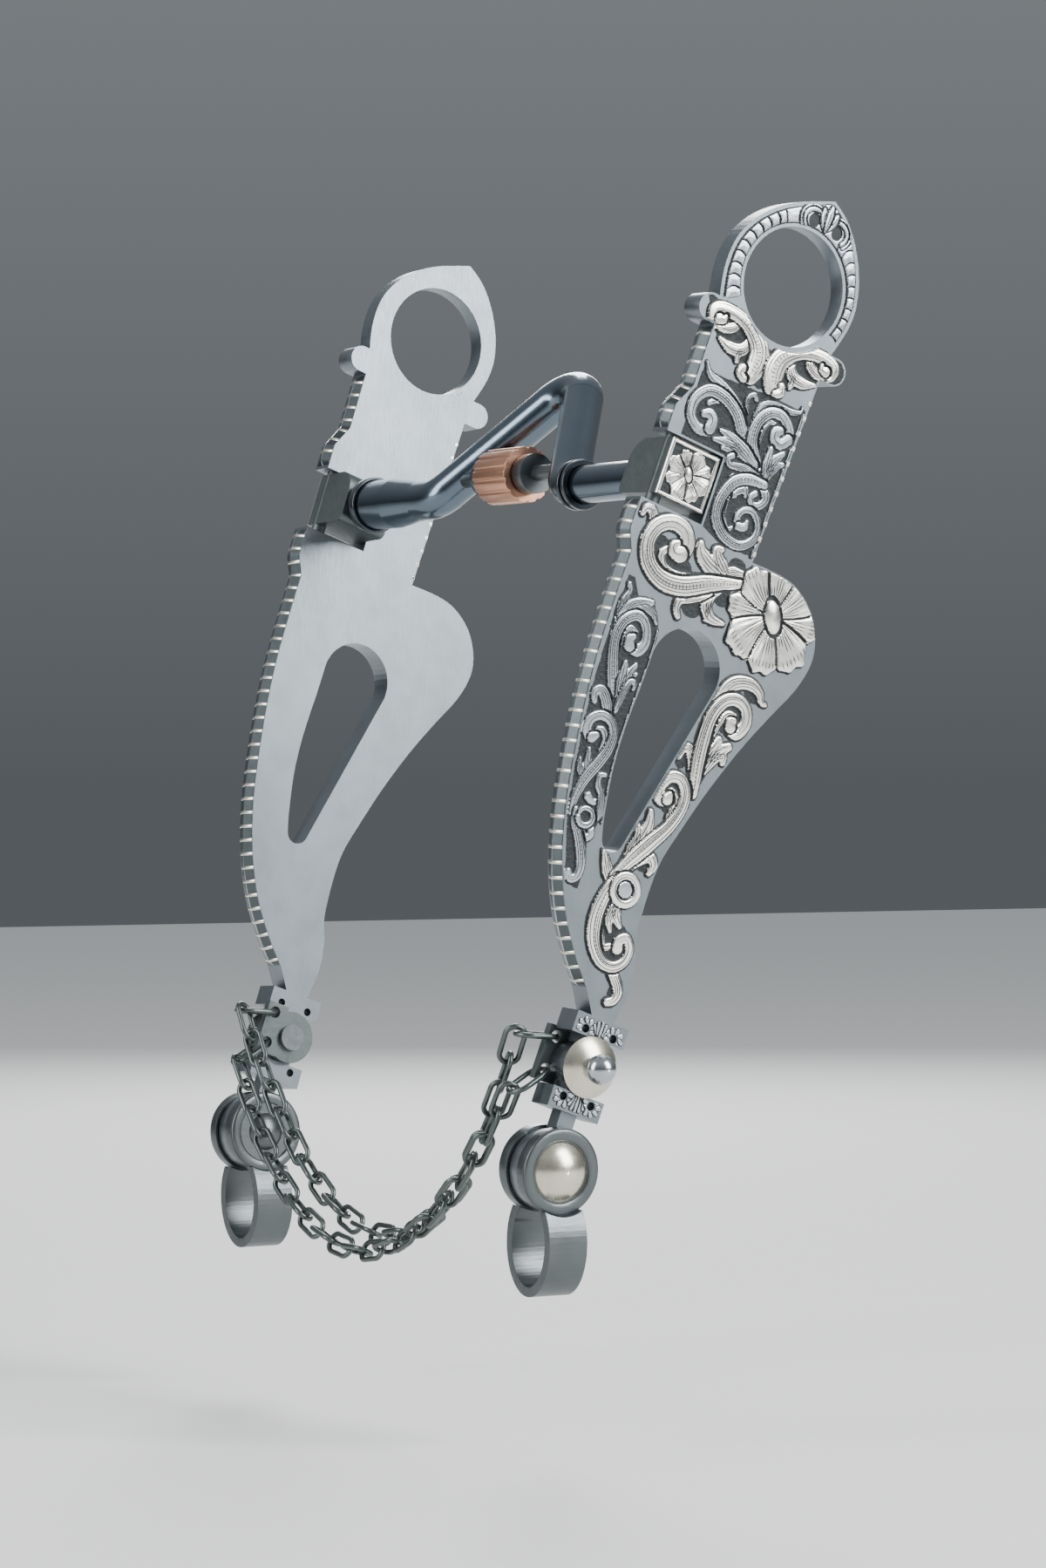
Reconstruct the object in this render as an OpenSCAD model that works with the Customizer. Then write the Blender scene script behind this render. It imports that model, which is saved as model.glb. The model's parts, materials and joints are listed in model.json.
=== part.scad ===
// Curb bit with loose-jaw cheeks, a ported mouthpiece with a roller, rein loops and a shank chain.
// Units mm. Origin: middle of the mouthpiece, on the line through both jaw blocks. +Z up, +X right cheek,
// -Y the front edges of the cheeks. Each cheek is drawn in its own flat frame: x = n (out of the
// inner face), y = u (towards the rear edge), z = w (up the cheek), then splayed, leaned and placed.

/* [Overall] */
// distance between the inner faces of the cheeks at the mouthpiece
mouth_w = 127;        // [115:1:140]
// thickness of a cheek plate
plate_t = 5.5;        // [4:0.1:7]
// lean of the cheeks in their own plane, as the bit hangs (degrees)
lean = 20;            // [0:1:30]
// how far the cheeks open outwards at the top (degrees)
splay = 3;            // [0:0.5:6]

/* [Headstall ring] */
// radius of the hole for the headstall
ring_r = 12;          // [10:0.5:14]
// thickness of the ring
ring_t = 4.2;         // [3:0.1:6]
// radius of the rounded ear ends
ear_r = 2.85;         // [2:0.05:4]

/* [Jaw hinge] */
// half height of the square jaw block
block_h = 5.9;        // [4:0.1:8]
// half depth of the block, front to rear
block_u = 5.8;        // [4:0.1:8]
// how far the block stands in from the cheek's inner face
block_in = 8.5;       // [5:0.5:12]
// radius of the jaw pin
pin_r = 1.5;          // [1:0.05:2]
// running clearance of pins in their bores, on the radius
run_fit = 0.05;       // [0.01:0.01:0.1]

/* [Mouthpiece] */
// radius of the port tube
port_r = 4.3;         // [3:0.1:6]
// rearward lean of the port (degrees)
port_lean = 40;       // [0:1:45]
// radius of the bare right bar
bar_r = 3.9;          // [3:0.1:5]
// radius of the left bar where it meets its block
bar_left_r = 5.4;     // [4:0.1:6.5]
// radius of the roller
roller_r = 5.9;       // [4:0.1:8]
// length of the roller
roller_l = 12.5;      // [10:0.5:20]

/* [Shank end] */
// radius of the boss between the two crossbars
boss_r = 5.0;         // [4:0.1:6]
// radius of the domed button
button_r = 6.1;       // [5:0.1:7]
// radius of the rein loop's discs
disc_r = 8.6;         // [7:0.1:10]
// radius of the rein loop's pivot pin
rein_pin_r = 2.5;     // [2:0.1:3]
// width of the rein loop's band, front to rear
band_w = 8.6;         // [6:0.1:11]

/* [Chain] */
// wire radius of the links
wire_r = 0.55;        // [0.45:0.05:0.6]
// outer length of a link
link_l = 9.4;         // [9.2:0.1:9.8]
// outer width of a link
link_w = 5.0;         // [4.6:0.1:5.2]

/* [Hidden] */
$fn = 64;
pin_u = -4.4;                       // jaw pin, from the block's middle
pin_n = plate_t / 2;
ring_c = [9.8, 44.4];               // middle of the headstall hole
boss_c = [21.3, -116];              // middle of the boss and button
eye_c = [22, -137.2];               // rein loop pivot
eye_n0 = 1.05;                      // the eye's inner face
eye_n1 = 4.45;                      // the eye's outer face
hole_u = 16;                        // the two chain holes
hole_w = [-112, -118.8];
plate_n0 = -2.2;                    // chain plate, inner and outer face
plate_n1 = -0.5;
conn_len = 8.6;                     // connecting link, along it, on the wire's middle line
conn_w = 5.4;                       // and across it
conn_ang = [-164, -130];            // its direction in the cheek's plane, upper and lower
conn_tilt = -2;                     // its tilt across the plate
conn_hang = [36, 32];               // where on its end bend the strand hangs

// ---- placing ----
module right() { translate([mouth_w / 2, 0, 0]) rotate([-lean, 0, 0]) rotate([0, splay, 0]) children(); }
module left() { mirror([1, 0, 0]) right() children(); }
// a flat shape in the cheek's plane, made solid between two distances from the inner face
module slab(n0, n1) { translate([n0, 0, 0]) rotate([90, 0, 90]) linear_extrude(n1 - n0) children(); }
// a round body along n
module along_n(u, w, n0, n1, r) { translate([n0, u, w]) rotate([0, 90, 0]) cylinder(h = n1 - n0, r = r); }

// ---- smooth curve through points ----
function cr(a, b, c, d, t) = 0.5 * (2 * b + (c - a) * t + (2 * a - 5 * b + 4 * c - d) * t * t
    + (3 * b - a - 3 * c + d) * t * t * t);
function curve(p, k) = [for (i = [0 : len(p) - 2]) for (j = [0 : k - 1])
    cr(p[max(i - 1, 0)], p[i], p[i + 1], p[min(i + 2, len(p) - 1)], j / k), p[len(p) - 1]];
// a point and a direction at a distance along a run of points
function walk(p, s, i = 0) = let (d = norm(p[i + 1] - p[i]))
    (s <= d || i >= len(p) - 2) ? [p[i] + (p[i + 1] - p[i]) * s / d, (p[i + 1] - p[i]) / d]
        : walk(p, s - d, i + 1);
function run(p, i = 0) = i >= len(p) - 1 ? 0 : norm(p[i + 1] - p[i]) + run(p, i + 1);

// ---- cheek outline ----
shank_front = curve([[-6.7, -18.5], [-6.8, -30], [-6.6, -40], [-5.7, -50], [-4.3, -60], [-2.4, -70],
    [0.7, -80], [5.3, -89.4], [11, -97], [15.2, -101.5], [18.4, -106.2]], 4);
rear_low = curve([[23.9, -106.2], [24.9, -99.5], [24.2, -93], [22.5, -88], [22, -80], [22.4, -73],
    [24.4, -66], [27.6, -56.3], [31.8, -46], [36, -37.5], [39.8, -30.3], [41.5, -24], [40.6, -19],
    [37.6, -14.4], [33, -11.3], [28, -10.2], [20.7, -10.3]], 4);
module cheek_2d() polygon(concat([[-5.3, 36], [22.5, 36], [22.2, 28.5], [20.7, -10.3]],
    [for (i = [len(rear_low) - 2 : -1 : 0]) rear_low[i]],
    [for (i = [len(shank_front) - 1 : -1 : 0]) shank_front[i]],
    [[-8.6, -14.5], [-8.6, -7.8], [block_u + 0.7, -7.8], [block_u + 0.7, 6.5], [-7.8, 6.5], [-7.8, 12],
    [-5.3, 17]]));
module teardrop_2d() polygon(concat([for (a = [-8 : 8 : 184]) [13.6 + 8.3 * cos(a), -35.8 + 8.3 * sin(a)]],
    curve([[5.2, -42], [4.8, -52], [5.3, -61], [7, -70.5]], 4),
    [for (a = [200 : 20 : 340]) [10.2 + 2.5 * cos(a), -72.6 + 2.5 * sin(a)]]));
ring_out = concat(curve([[-5.3, 34], [-6.8, 41], [-6.5, 47.5], [-4.1, 52.8], [-0.2, 57.2], [4.6, 60.5],
    [9.5, 62.8], [12.8, 64.2]], 4), curve([[12.8, 64.2], [16.8, 61.9], [20.4, 58.2], [23.4, 53.3],
    [25.1, 48.4], [25.5, 44.2], [24.8, 40], [22.8, 34]], 4));
module ring_2d() polygon(ring_out);
module ears_2d() {
    translate([-7.2, 32.9]) circle(r = ear_r);
    translate([24.8, 32.3]) circle(r = ear_r);
    translate([-7.2, 32.9 - ear_r]) square([12, 2 * ear_r]);
    translate([14.8, 32.3 - ear_r]) square([10, 2 * ear_r]);
}

module cheek() color([0.55, 0.58, 0.6]) difference() {
    union() {
        slab(0, plate_t) difference() { union() { cheek_2d(); ears_2d(); } teardrop_2d(); }
        slab((plate_t - ring_t) / 2, (plate_t + ring_t) / 2) ring_2d();
        slab(-0.3, plate_t + 0.3) translate([15, -110.4]) square([12.6, 4.2]);
        slab(-0.3, plate_t + 0.3) translate([15.1, -125.8]) square([12.4, 4.2]);
        along_n(boss_c[0], boss_c[1], plate_n1, plate_t + 0.8, boss_r);
        slab(0.2, plate_t - 0.2) translate([boss_c[0] - 3, -122]) square([6, 12]);
        slab(eye_n0, eye_n1) translate([19.4, -132]) square([3.8, 7]);
        along_n(eye_c[0], eye_c[1], eye_n0, eye_n1, disc_r - 0.6);
    }
    along_n(ring_c[0], ring_c[1], -1, plate_t + 1, ring_r);
    // the plate is thinned to the ring's thickness all round the hole
    along_n(ring_c[0], ring_c[1], -1, (plate_t - ring_t) / 2, ring_r + 1);
    along_n(ring_c[0], ring_c[1], (plate_t + ring_t) / 2, plate_t + 1, ring_r + 1);
    translate([pin_n, pin_u, -15.7]) cylinder(h = 30.4, r = pin_r + run_fit);
    along_n(boss_c[0], boss_c[1], -2, plate_t + 2, 1.8);
    along_n(eye_c[0], eye_c[1], 0, plate_t, rein_pin_r + run_fit);
    for (s = [-1, 1], w = [-109.1, -123]) along_n(boss_c[0] + s * 3.4, w, -1, plate_t + 1, 0.85);
}
module ring_band() color([0.86, 0.85, 0.82]) slab((plate_t + ring_t) / 2, (plate_t + ring_t) / 2 + 0.5)
    difference() {
        polygon(concat(curve([[-4.3, 36.5], [-4.9, 41], [-4.6, 47], [-2.6, 51.9], [0.9, 55.8], [5.3, 58.9],
            [9.4, 61.2], [12.9, 63.2]], 3), curve([[12.9, 63.2], [16.4, 60.6], [19.4, 57.3], [22.3, 52.7],
            [24.1, 48.1], [24.4, 44.2], [23.8, 40.2], [22.1, 36.3]], 3)));
        translate(ring_c) circle(r = ring_r + 0.3);
    }
module ear_lobe_2d() polygon(curve([[15.2, 32.6], [19, 34], [24.5, 34.8], [27, 33.6], [27.1, 31.4],
    [25, 30.2], [22.6, 29.2], [19.6, 28.6], [20.8, 25.8], [16.4, 24.8], [14.6, 22.2], [12, 20.9],
    [9.6, 22.6], [9.2, 26], [11, 30], [15.2, 32.6]], 3));
module ear_scrolls() color([0.86, 0.85, 0.82]) slab(plate_t, plate_t + 0.8) difference() {
    union() { ear_lobe_2d(); translate([17.7, 0]) mirror([1, 0]) ear_lobe_2d(); }
    translate(ring_c) circle(r = ring_r + 1.1);
}
module flower() color([0.86, 0.85, 0.82]) slab(plate_t, plate_t + 1) intersection() {
    translate([30.2, -20.2]) union() {
        for (a = [0 : 45 : 315]) translate(6.9 * [cos(a), sin(a)]) circle(r = 4.1);
        circle(r = 7.4);
    }
    cheek_2d();
}
module shank_scrolls() color([0.86, 0.85, 0.82]) slab(plate_t, plate_t + 0.7) {
    polygon(curve([[23.4, -37.6], [29, -34], [32.8, -37], [31.4, -43.5], [27, -53], [24.6, -61.5],
        [20.8, -69.8], [16.4, -75], [14.2, -73.4], [15.7, -67], [17.6, -61], [18.6, -54], [21, -47.5],
        [22.1, -42.5], [23.4, -37.6]], 3));
    polygon(curve([[17, -78.2], [20.2, -80.4], [19.6, -84.6], [20.6, -89], [23.2, -91.6], [23.6, -95.4],
        [20.6, -98.4], [15.6, -97.4], [12, -93.6], [11.2, -88.5], [12.6, -83], [17, -78.2]], 3));
}
// front edge bars
module edge_bar(q, t) translate([plate_t / 2, q[0], q[1]]) rotate([atan2(t[1], t[0]) + 90, 0, 0])
    translate([-plate_t / 2 - 0.15, -0.35, -0.6]) cube([plate_t + 0.3, 1.1, 1.2]);
module front_bars() color([0.82, 0.8, 0.75]) {
    for (w = [16.7 : 3.35 : 28]) edge_bar([-5.3, w], [0, -1]);
    edge_bar([-7.8, 9], [0, -1]);
    edge_bar([-8.6, -11.4], [0, -1]);
    for (s = [1.2 : 3.43 : run(shank_front) - 1.5]) let (m = walk(shank_front, s)) edge_bar(m[0], m[1]);
}
module rear_bars() color([0.82, 0.8, 0.75]) for (w = [-8.6 : 3.28 : 26]) let (u = 20.7 + (w + 10.3) * 0.0387)
    translate([0, u - 0.75, w - 0.5]) cube([plate_t + 0.1, 0.9, 1]);
module chain_plate() color([0.42, 0.44, 0.45]) difference() {
    union() {
        along_n(boss_c[0], boss_c[1], plate_n0, plate_n1, 5.6);
        slab(plate_n0, plate_n1) translate([hole_u - 2, -121.2]) square([5, 11.3]);
    }
    for (w = hole_w) along_n(hole_u, w, plate_n0 - 1, plate_n1 + 1, 1.2);
    along_n(boss_c[0], boss_c[1], plate_n0 - 1, plate_n1 + 1, 1.8);
}
module turned(u, w, n) { translate([n, u, w]) rotate([0, 90, 0]) rotate_extrude() children(); }
module button() color([0.8, 0.76, 0.66]) turned(boss_c[0], boss_c[1], plate_t + 0.8)
    difference() {
        intersection() {
            translate([0, -6.6]) circle(r = 9.0);
            translate([1.8, 0]) square([button_r - 1.8, 3]);
        }
        translate([0, 4.1]) circle(r = 3.05);
    }
module button_ball() color([0.75, 0.77, 0.78]) turned(boss_c[0], boss_c[1], plate_t + 0.8) {
    intersection() { translate([0, 4.1]) circle(r = 3); translate([0, 1.1]) square([3.2, 6.2]); }
    translate([0, -8.9]) square([1.8, 10.5]);
    translate([0, -9.6]) square([2.8, 1]);
}
// rein loop: two discs either side of the eye, and an oval band hanging plumb under them
module loop_band_2d(a, b) polygon([for (t = [0 : 6 : 354]) [a * cos(t), b * sin(t)]]);
module rein_loop() color([0.6, 0.61, 0.62]) translate([0, eye_c[0], eye_c[1]]) rotate([lean, 0, 0]) {
    difference() {
        union() {
            translate([-1.9, 0, 0]) rotate([0, 90, 0]) cylinder(h = 2.65, r = disc_r);
            translate([4.75, 0, 0]) rotate([0, 90, 0]) cylinder(h = 2.45, r = disc_r);
            translate([2.7, band_w / 2, -14.4]) rotate([90, 0, 0]) linear_extrude(band_w) difference() {
                loop_band_2d(8.1, 10.5); loop_band_2d(6.1, 8.5); }
        }
        translate([0.75, 0, 0]) rotate([0, 90, 0]) cylinder(h = 4, r = disc_r - 0.1);
        translate([-5, 0, 0]) rotate([0, 90, 0]) cylinder(h = 16, r = rein_pin_r);
        translate([-5.5, 0, 0]) rotate([0, 90, 0]) cylinder(h = 3.6, r = disc_r);
        translate([7.2, 0, 0]) rotate([0, 90, 0]) cylinder(h = 4, r = disc_r);
    }
}
module rein_pin() color([0.55, 0.57, 0.58]) {
    along_n(eye_c[0], eye_c[1], -2.4, 7.4, rein_pin_r);
    turned(eye_c[0], eye_c[1], -1.9) intersection() { translate([0, 3.2]) circle(r = 5.2);
        translate([0, -2.2]) square([4, 2.2]); }
}
module rein_dome() color([0.8, 0.76, 0.66]) turned(eye_c[0], eye_c[1], 7.2) difference() {
    intersection() { translate([0, -4.6]) circle(r = 7.5); square([5.95, 4]); }
    translate([-1, -1]) square([rein_pin_r + 1, 1.2]);
}

// ---- mouthpiece ----
module jaw_block() color([0.36, 0.4, 0.41]) difference() {
    union() {
        translate([-3.5, -block_u, -block_h]) cube([8.8, 2 * block_u, 2 * block_h]);
        translate([-block_in, -block_u, -block_h + 1.5]) cube([block_in, 2 * block_u, 2 * block_h - 6.5]);
        translate([-block_in + 1.5, -block_u, -block_h]) cube([block_in, 2 * block_u, 3]);
        translate([-3.5, -block_u, block_h - 5]) rotate([-90, 0, 0]) cylinder(h = 2 * block_u, r = 5);
        translate([-block_in + 1.5, -block_u, -block_h + 1.5]) rotate([-90, 0, 0])
            cylinder(h = 2 * block_u, r = 1.5);
    }
    translate([pin_n, pin_u, -block_h - 1]) cylinder(h = 2 * block_h + 2, r = pin_r);
}
module block_cap() color([0.86, 0.85, 0.82]) slab(5.3, 6) {
    difference() {
        translate([-block_u, -block_h]) square([2 * block_u, 2 * block_h]);
        translate([-block_u + 0.9, -block_h + 0.9]) square([2 * block_u - 1.8, 2 * block_h - 1.8]);
    }
    for (a = [22.5 : 45 : 337.5]) translate(2.9 * [cos(a), sin(a)]) circle(r = 1.7);
    circle(r = 2.6);
}
module jaw_pin() color([0.5, 0.52, 0.53]) translate([pin_n, pin_u, -15.4]) cylinder(h = 29.8, r = pin_r);

// port path in its own leaning plane: [across, up]
leg_a = atan2(18, 13.7);
leg_x0 = 25.33;
bend = 6;
top_bend = 7.5;
apex = leg_x0 * tan(leg_a);
cut0 = bend * tan(leg_a / 2);
cut1 = top_bend * tan(leg_a);
module elbow(x, y, r, a0, a1) translate([x, y]) rotate([0, 0, a0]) rotate_extrude(angle = a1 - a0)
    translate([r, 0]) circle(r = port_r);
module port_leg() {
    elbow(leg_x0 + cut0, bend, bend, 270 - leg_a, 270);
    translate([leg_x0 - cut0 * cos(leg_a), cut0 * sin(leg_a)]) rotate([0, 0, 90 - leg_a])
        rotate([-90, 0, 0]) translate([0, 0, -0.4])
            cylinder(h = leg_x0 / cos(leg_a) - cut0 - cut1 + 0.8, r = port_r - 0.03);
}
module mouth_port() color([0.2, 0.25, 0.29]) rotate([90 - port_lean, 0, 0]) {
    port_leg();
    mirror([1, 0, 0]) port_leg();
    elbow(0, apex - top_bend / cos(leg_a), top_bend, 90 - leg_a, 90 + leg_a);
}
bar_x0 = leg_x0 + cut0;
block_x = mouth_w / 2 - block_in;
module bar_right() color([0.26, 0.31, 0.36]) translate([bar_x0 - 1, 0, 0]) rotate([0, 90, 0])
    cylinder(h = block_x - bar_x0 + 3, r = bar_r);
module bar_left() color([0.2, 0.25, 0.29]) translate([-bar_x0, 0, 0]) rotate([0, -90, 0]) {
    cylinder(h = 4, r = port_r);
    translate([0, 0, 4]) cylinder(h = 10, r1 = port_r, r2 = bar_left_r);
    translate([0, 0, 14]) cylinder(h = block_x - bar_x0 - 12, r = bar_left_r);
}
module collar_right() color([0.15, 0.18, 0.2]) for (x = [bar_x0 + 0.05, bar_x0 + 2]) translate([x, 0, 0])
    rotate([0, 90, 0]) difference() {
        cylinder(h = 1.2, r = 5.2);
        translate([0, 0, -1]) cylinder(h = 4, r = bar_r);
    }
module collar_left() color([0.15, 0.18, 0.2]) translate([-block_x + 3.6, 0, 0]) rotate([0, -90, 0])
    difference() {
        cylinder(h = 2.2, r = bar_left_r + 0.7);
        translate([0, 0, -1]) cylinder(h = 6, r = bar_left_r);
    }
roller_at = [0, 2.4, 3.6];
module roller_axle() color([0.6, 0.61, 0.6]) translate(roller_at) {
    translate([-21, 0, 0]) rotate([0, 90, 0]) cylinder(h = 42, r = 1.6);
    for (s = [0, 1]) mirror([s, 0, 0]) translate([roller_l / 2 + 0.4, 0, 0]) rotate([0, 90, 0])
        cylinder(h = 3.2, r = 4.2);
}
module roller() color([0.72, 0.45, 0.36]) translate(roller_at) rotate([0, 90, 0]) difference() {
    translate([0, 0, -roller_l / 2]) cylinder(h = roller_l, r = roller_r);
    translate([0, 0, -roller_l]) cylinder(h = 2 * roller_l, r = 1.6 + run_fit);
    for (a = [0 : 360 / 14 : 359]) rotate([0, 0, a]) translate([roller_r + 0.25, 0, -roller_l])
        cylinder(h = 2 * roller_l, r = 0.6);
}

// ---- chain ----
// a flat wire link in the x-y plane, long side along x
module wire_link(l, w, r) {
    R = w / 2 - r;
    h = l / 2 - r - R;
    for (s = [0, 1]) rotate([0, 0, 180 * s]) {
        translate([h, 0, 0]) rotate([0, 0, -90]) rotate_extrude(angle = 180)
            translate([R, 0]) circle(r = r, $fn = 24);
        translate([-h, R, 0]) rotate([0, 90, 0]) cylinder(h = 2 * h, r = r, $fn = 24);
    }
}
// the connecting links go through the chain plate and round its front edge
module connector(i) color([0.45, 0.47, 0.46])
    translate([(plate_n0 + plate_n1) / 2, hole_u, hole_w[i]]) rotate([conn_ang[i], 0, 0])
        rotate([0, 0, conn_tilt]) translate([0, conn_len / 2, 0]) rotate([0, 0, 90])
            wire_link(conn_len + 2 * wire_r, conn_w + 2 * wire_r, wire_r);
// where a strand hangs on a connecting link, in the row frame
function world(p) = let (c = cos(splay), s = sin(splay), x = p[0] * c + p[2] * s, w = p[2] * c - p[0] * s)
    [mouth_w / 2 + x, p[1] * cos(lean) + w * sin(lean), w * cos(lean) - p[1] * sin(lean)];
function conn_end(i) = let (r = conn_w / 2, qn = -r * sin(conn_hang[i]),
        qd = conn_len - r + r * cos(conn_hang[i]),
        n = qn * cos(conn_tilt) - qd * sin(conn_tilt), d = qn * sin(conn_tilt) + qd * cos(conn_tilt))
    world([(plate_n0 + plate_n1) / 2 + n, hole_u + d * cos(conn_ang[i]), hole_w[i] + d * sin(conn_ang[i])]);
function sinh(x) = (exp(x) - exp(-x)) / 2;
function cosh(x) = (exp(x) + exp(-x)) / 2;
function asinh(x) = ln(x + sqrt(x * x + 1));
// n links hang evenly along a catenary of shape a; side moves the middle of the strand towards -y or +y
module strand(e, a, n, side) color([0.4, 0.42, 0.41]) {
    s_end = a * sinh(e[0] / a) - (link_l / 2 - wire_r) + 2 * wire_r + 0.5;
    z0 = e[2] - a * (cosh(e[0] / a) - 1);
    for (i = [0 : n - 1]) let (s = s_end * (2 * i / (n - 1) - 1), x = a * asinh(s / a),
            z = z0 + a * (cosh(x / a) - 1), q = abs(s) / s_end, y = e[1] + side * (1 - q * q))
        translate([x, y, z]) rotate([0, -atan(s / a), 0]) rotate([i % 2 == 0 ? -25 : 65, 0, 0])
            wire_link(link_l, link_w, wire_r);
}

mouth_port();
bar_right();
bar_left();
collar_right();
collar_left();
right() jaw_block();  // block_right
left() jaw_block();  // block_left
right() block_cap();  // cap_right
left() block_cap();  // cap_left
right() jaw_pin();  // jaw_pin_right
left() jaw_pin();  // jaw_pin_left
roller_axle();
roller();
right() cheek();  // cheek_right
right() ring_band();  // ring_band_right
right() ear_scrolls();  // ear_scrolls_right
right() flower();  // flower_right
right() shank_scrolls();  // shank_scrolls_right
right() front_bars();  // front_bars_right
right() rear_bars();  // rear_bars_right
right() chain_plate();  // chain_plate_right
right() button();  // button_right
right() button_ball();  // button_ball_right
right() rein_loop();  // rein_loop_right
right() rein_pin();  // rein_pin_right
right() rein_dome();  // rein_dome_right
left() cheek();  // cheek_left
left() ring_band();  // ring_band_left
left() ear_scrolls();  // ear_scrolls_left
left() flower();  // flower_left
left() shank_scrolls();  // shank_scrolls_left
left() front_bars();  // front_bars_left
left() rear_bars();  // rear_bars_left
left() chain_plate();  // chain_plate_left
left() button();  // button_left
left() button_ball();  // button_ball_left
left() rein_loop();  // rein_loop_left
left() rein_pin();  // rein_pin_left
left() rein_dome();  // rein_dome_left
strand(conn_end(1), 46.5, 21, -2.6);  // chain_front
strand(conn_end(0), 40, 23, 2.2);  // chain_rear
right() connector(0);  // link_right_upper
right() connector(1);  // link_right_lower
left() connector(0);  // link_left_upper
left() connector(1);  // link_left_lower
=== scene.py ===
import json
import math

import bpy
import numpy as np
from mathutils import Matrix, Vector

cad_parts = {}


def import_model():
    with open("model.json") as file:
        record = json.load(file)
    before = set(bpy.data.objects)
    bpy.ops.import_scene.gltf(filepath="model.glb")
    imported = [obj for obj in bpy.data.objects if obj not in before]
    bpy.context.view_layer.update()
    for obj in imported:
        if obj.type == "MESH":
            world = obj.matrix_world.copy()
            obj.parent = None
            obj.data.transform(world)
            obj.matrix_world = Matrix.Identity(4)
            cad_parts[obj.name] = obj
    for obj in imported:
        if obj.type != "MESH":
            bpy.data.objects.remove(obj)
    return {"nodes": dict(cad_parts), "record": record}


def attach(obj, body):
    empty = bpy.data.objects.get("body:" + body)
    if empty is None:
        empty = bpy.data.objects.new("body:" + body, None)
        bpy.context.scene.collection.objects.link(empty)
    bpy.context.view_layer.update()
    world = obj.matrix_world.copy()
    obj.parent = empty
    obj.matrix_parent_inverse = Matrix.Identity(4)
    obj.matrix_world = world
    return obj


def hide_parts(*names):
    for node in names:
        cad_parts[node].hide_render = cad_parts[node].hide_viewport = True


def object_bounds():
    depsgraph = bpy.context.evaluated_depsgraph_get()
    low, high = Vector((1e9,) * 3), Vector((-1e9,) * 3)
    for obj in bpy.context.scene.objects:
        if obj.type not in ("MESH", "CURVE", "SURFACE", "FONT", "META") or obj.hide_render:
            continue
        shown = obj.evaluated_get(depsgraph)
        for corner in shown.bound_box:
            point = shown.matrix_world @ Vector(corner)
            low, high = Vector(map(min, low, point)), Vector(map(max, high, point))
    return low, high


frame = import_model()
first_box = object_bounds()
nodes = frame["nodes"]
pi = math.pi

# -------- the cheek's own flat frame, in mm
LEAN, SPLAY = math.radians(20), math.radians(3)
HALF_WIDTH = 63.5  # a cheek's inner face, from the bit's middle
FACE = 5.5  # its outer face, from the inner face
RING_THICKNESS = 4.2  # the plate is thinned to this round the headstall hole
RING_FACE = (FACE + RING_THICKNESS) / 2  # the outer face there
BAR_FACE = FACE + 0.3  # the face of the crossbars at the foot
CAP_FACE = 5.3  # what the flower on the jaw block is carved on


def world(p, side):
    """Local (n, u, w) in mm to the row frame in metres, for side +1 right or -1 left."""
    p = np.asarray(p, float)
    x = HALF_WIDTH + p[..., 0] * math.cos(SPLAY) + p[..., 2] * math.sin(SPLAY)
    w = p[..., 2] * math.cos(SPLAY) - p[..., 0] * math.sin(SPLAY)
    y = p[..., 1] * math.cos(LEAN) + w * math.sin(LEAN)
    z = w * math.cos(LEAN) - p[..., 1] * math.sin(LEAN)
    return np.stack([side * x, y, z], -1) / 1000


class Build:
    """Collects grids of points in the cheek's frame and makes one mesh of them."""

    def __init__(self):
        self.points, self.quads, self.count = [], [], 0

    def grid(self, g, loop=False):
        """Add a grid of points, its last row joined to its first if loop is set."""
        rows, columns = g.shape[:2]
        k = np.arange(rows * columns).reshape(rows, columns) + self.count
        if loop:
            k = np.vstack([k, k[:1]])
        self.points.append(g.reshape(-1, 3))
        self.quads.append(np.stack([k[:-1, :-1], k[1:, :-1], k[1:, 1:], k[:-1, 1:]], -1).reshape(-1, 4))
        self.count += rows * columns

    def make(self, name, body, look, side=1, slot=None, flip=False):
        """One object from all the grids, riding on a body."""
        points = world(np.vstack(self.points), side)
        quads = np.vstack(self.quads)
        if (side < 0) != flip:
            quads = quads[:, ::-1]
        mesh = bpy.data.meshes.new(name)
        mesh.from_pydata(points.tolist(), [], quads.tolist())
        mesh.polygons.foreach_set("use_smooth", [True] * len(mesh.polygons))
        mesh.materials.append(look)
        ob = bpy.data.objects.new(name, mesh)
        bpy.context.scene.collection.objects.link(ob)
        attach(ob, body)
        return ob


# -------- materials
LOOKS = {}


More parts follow.
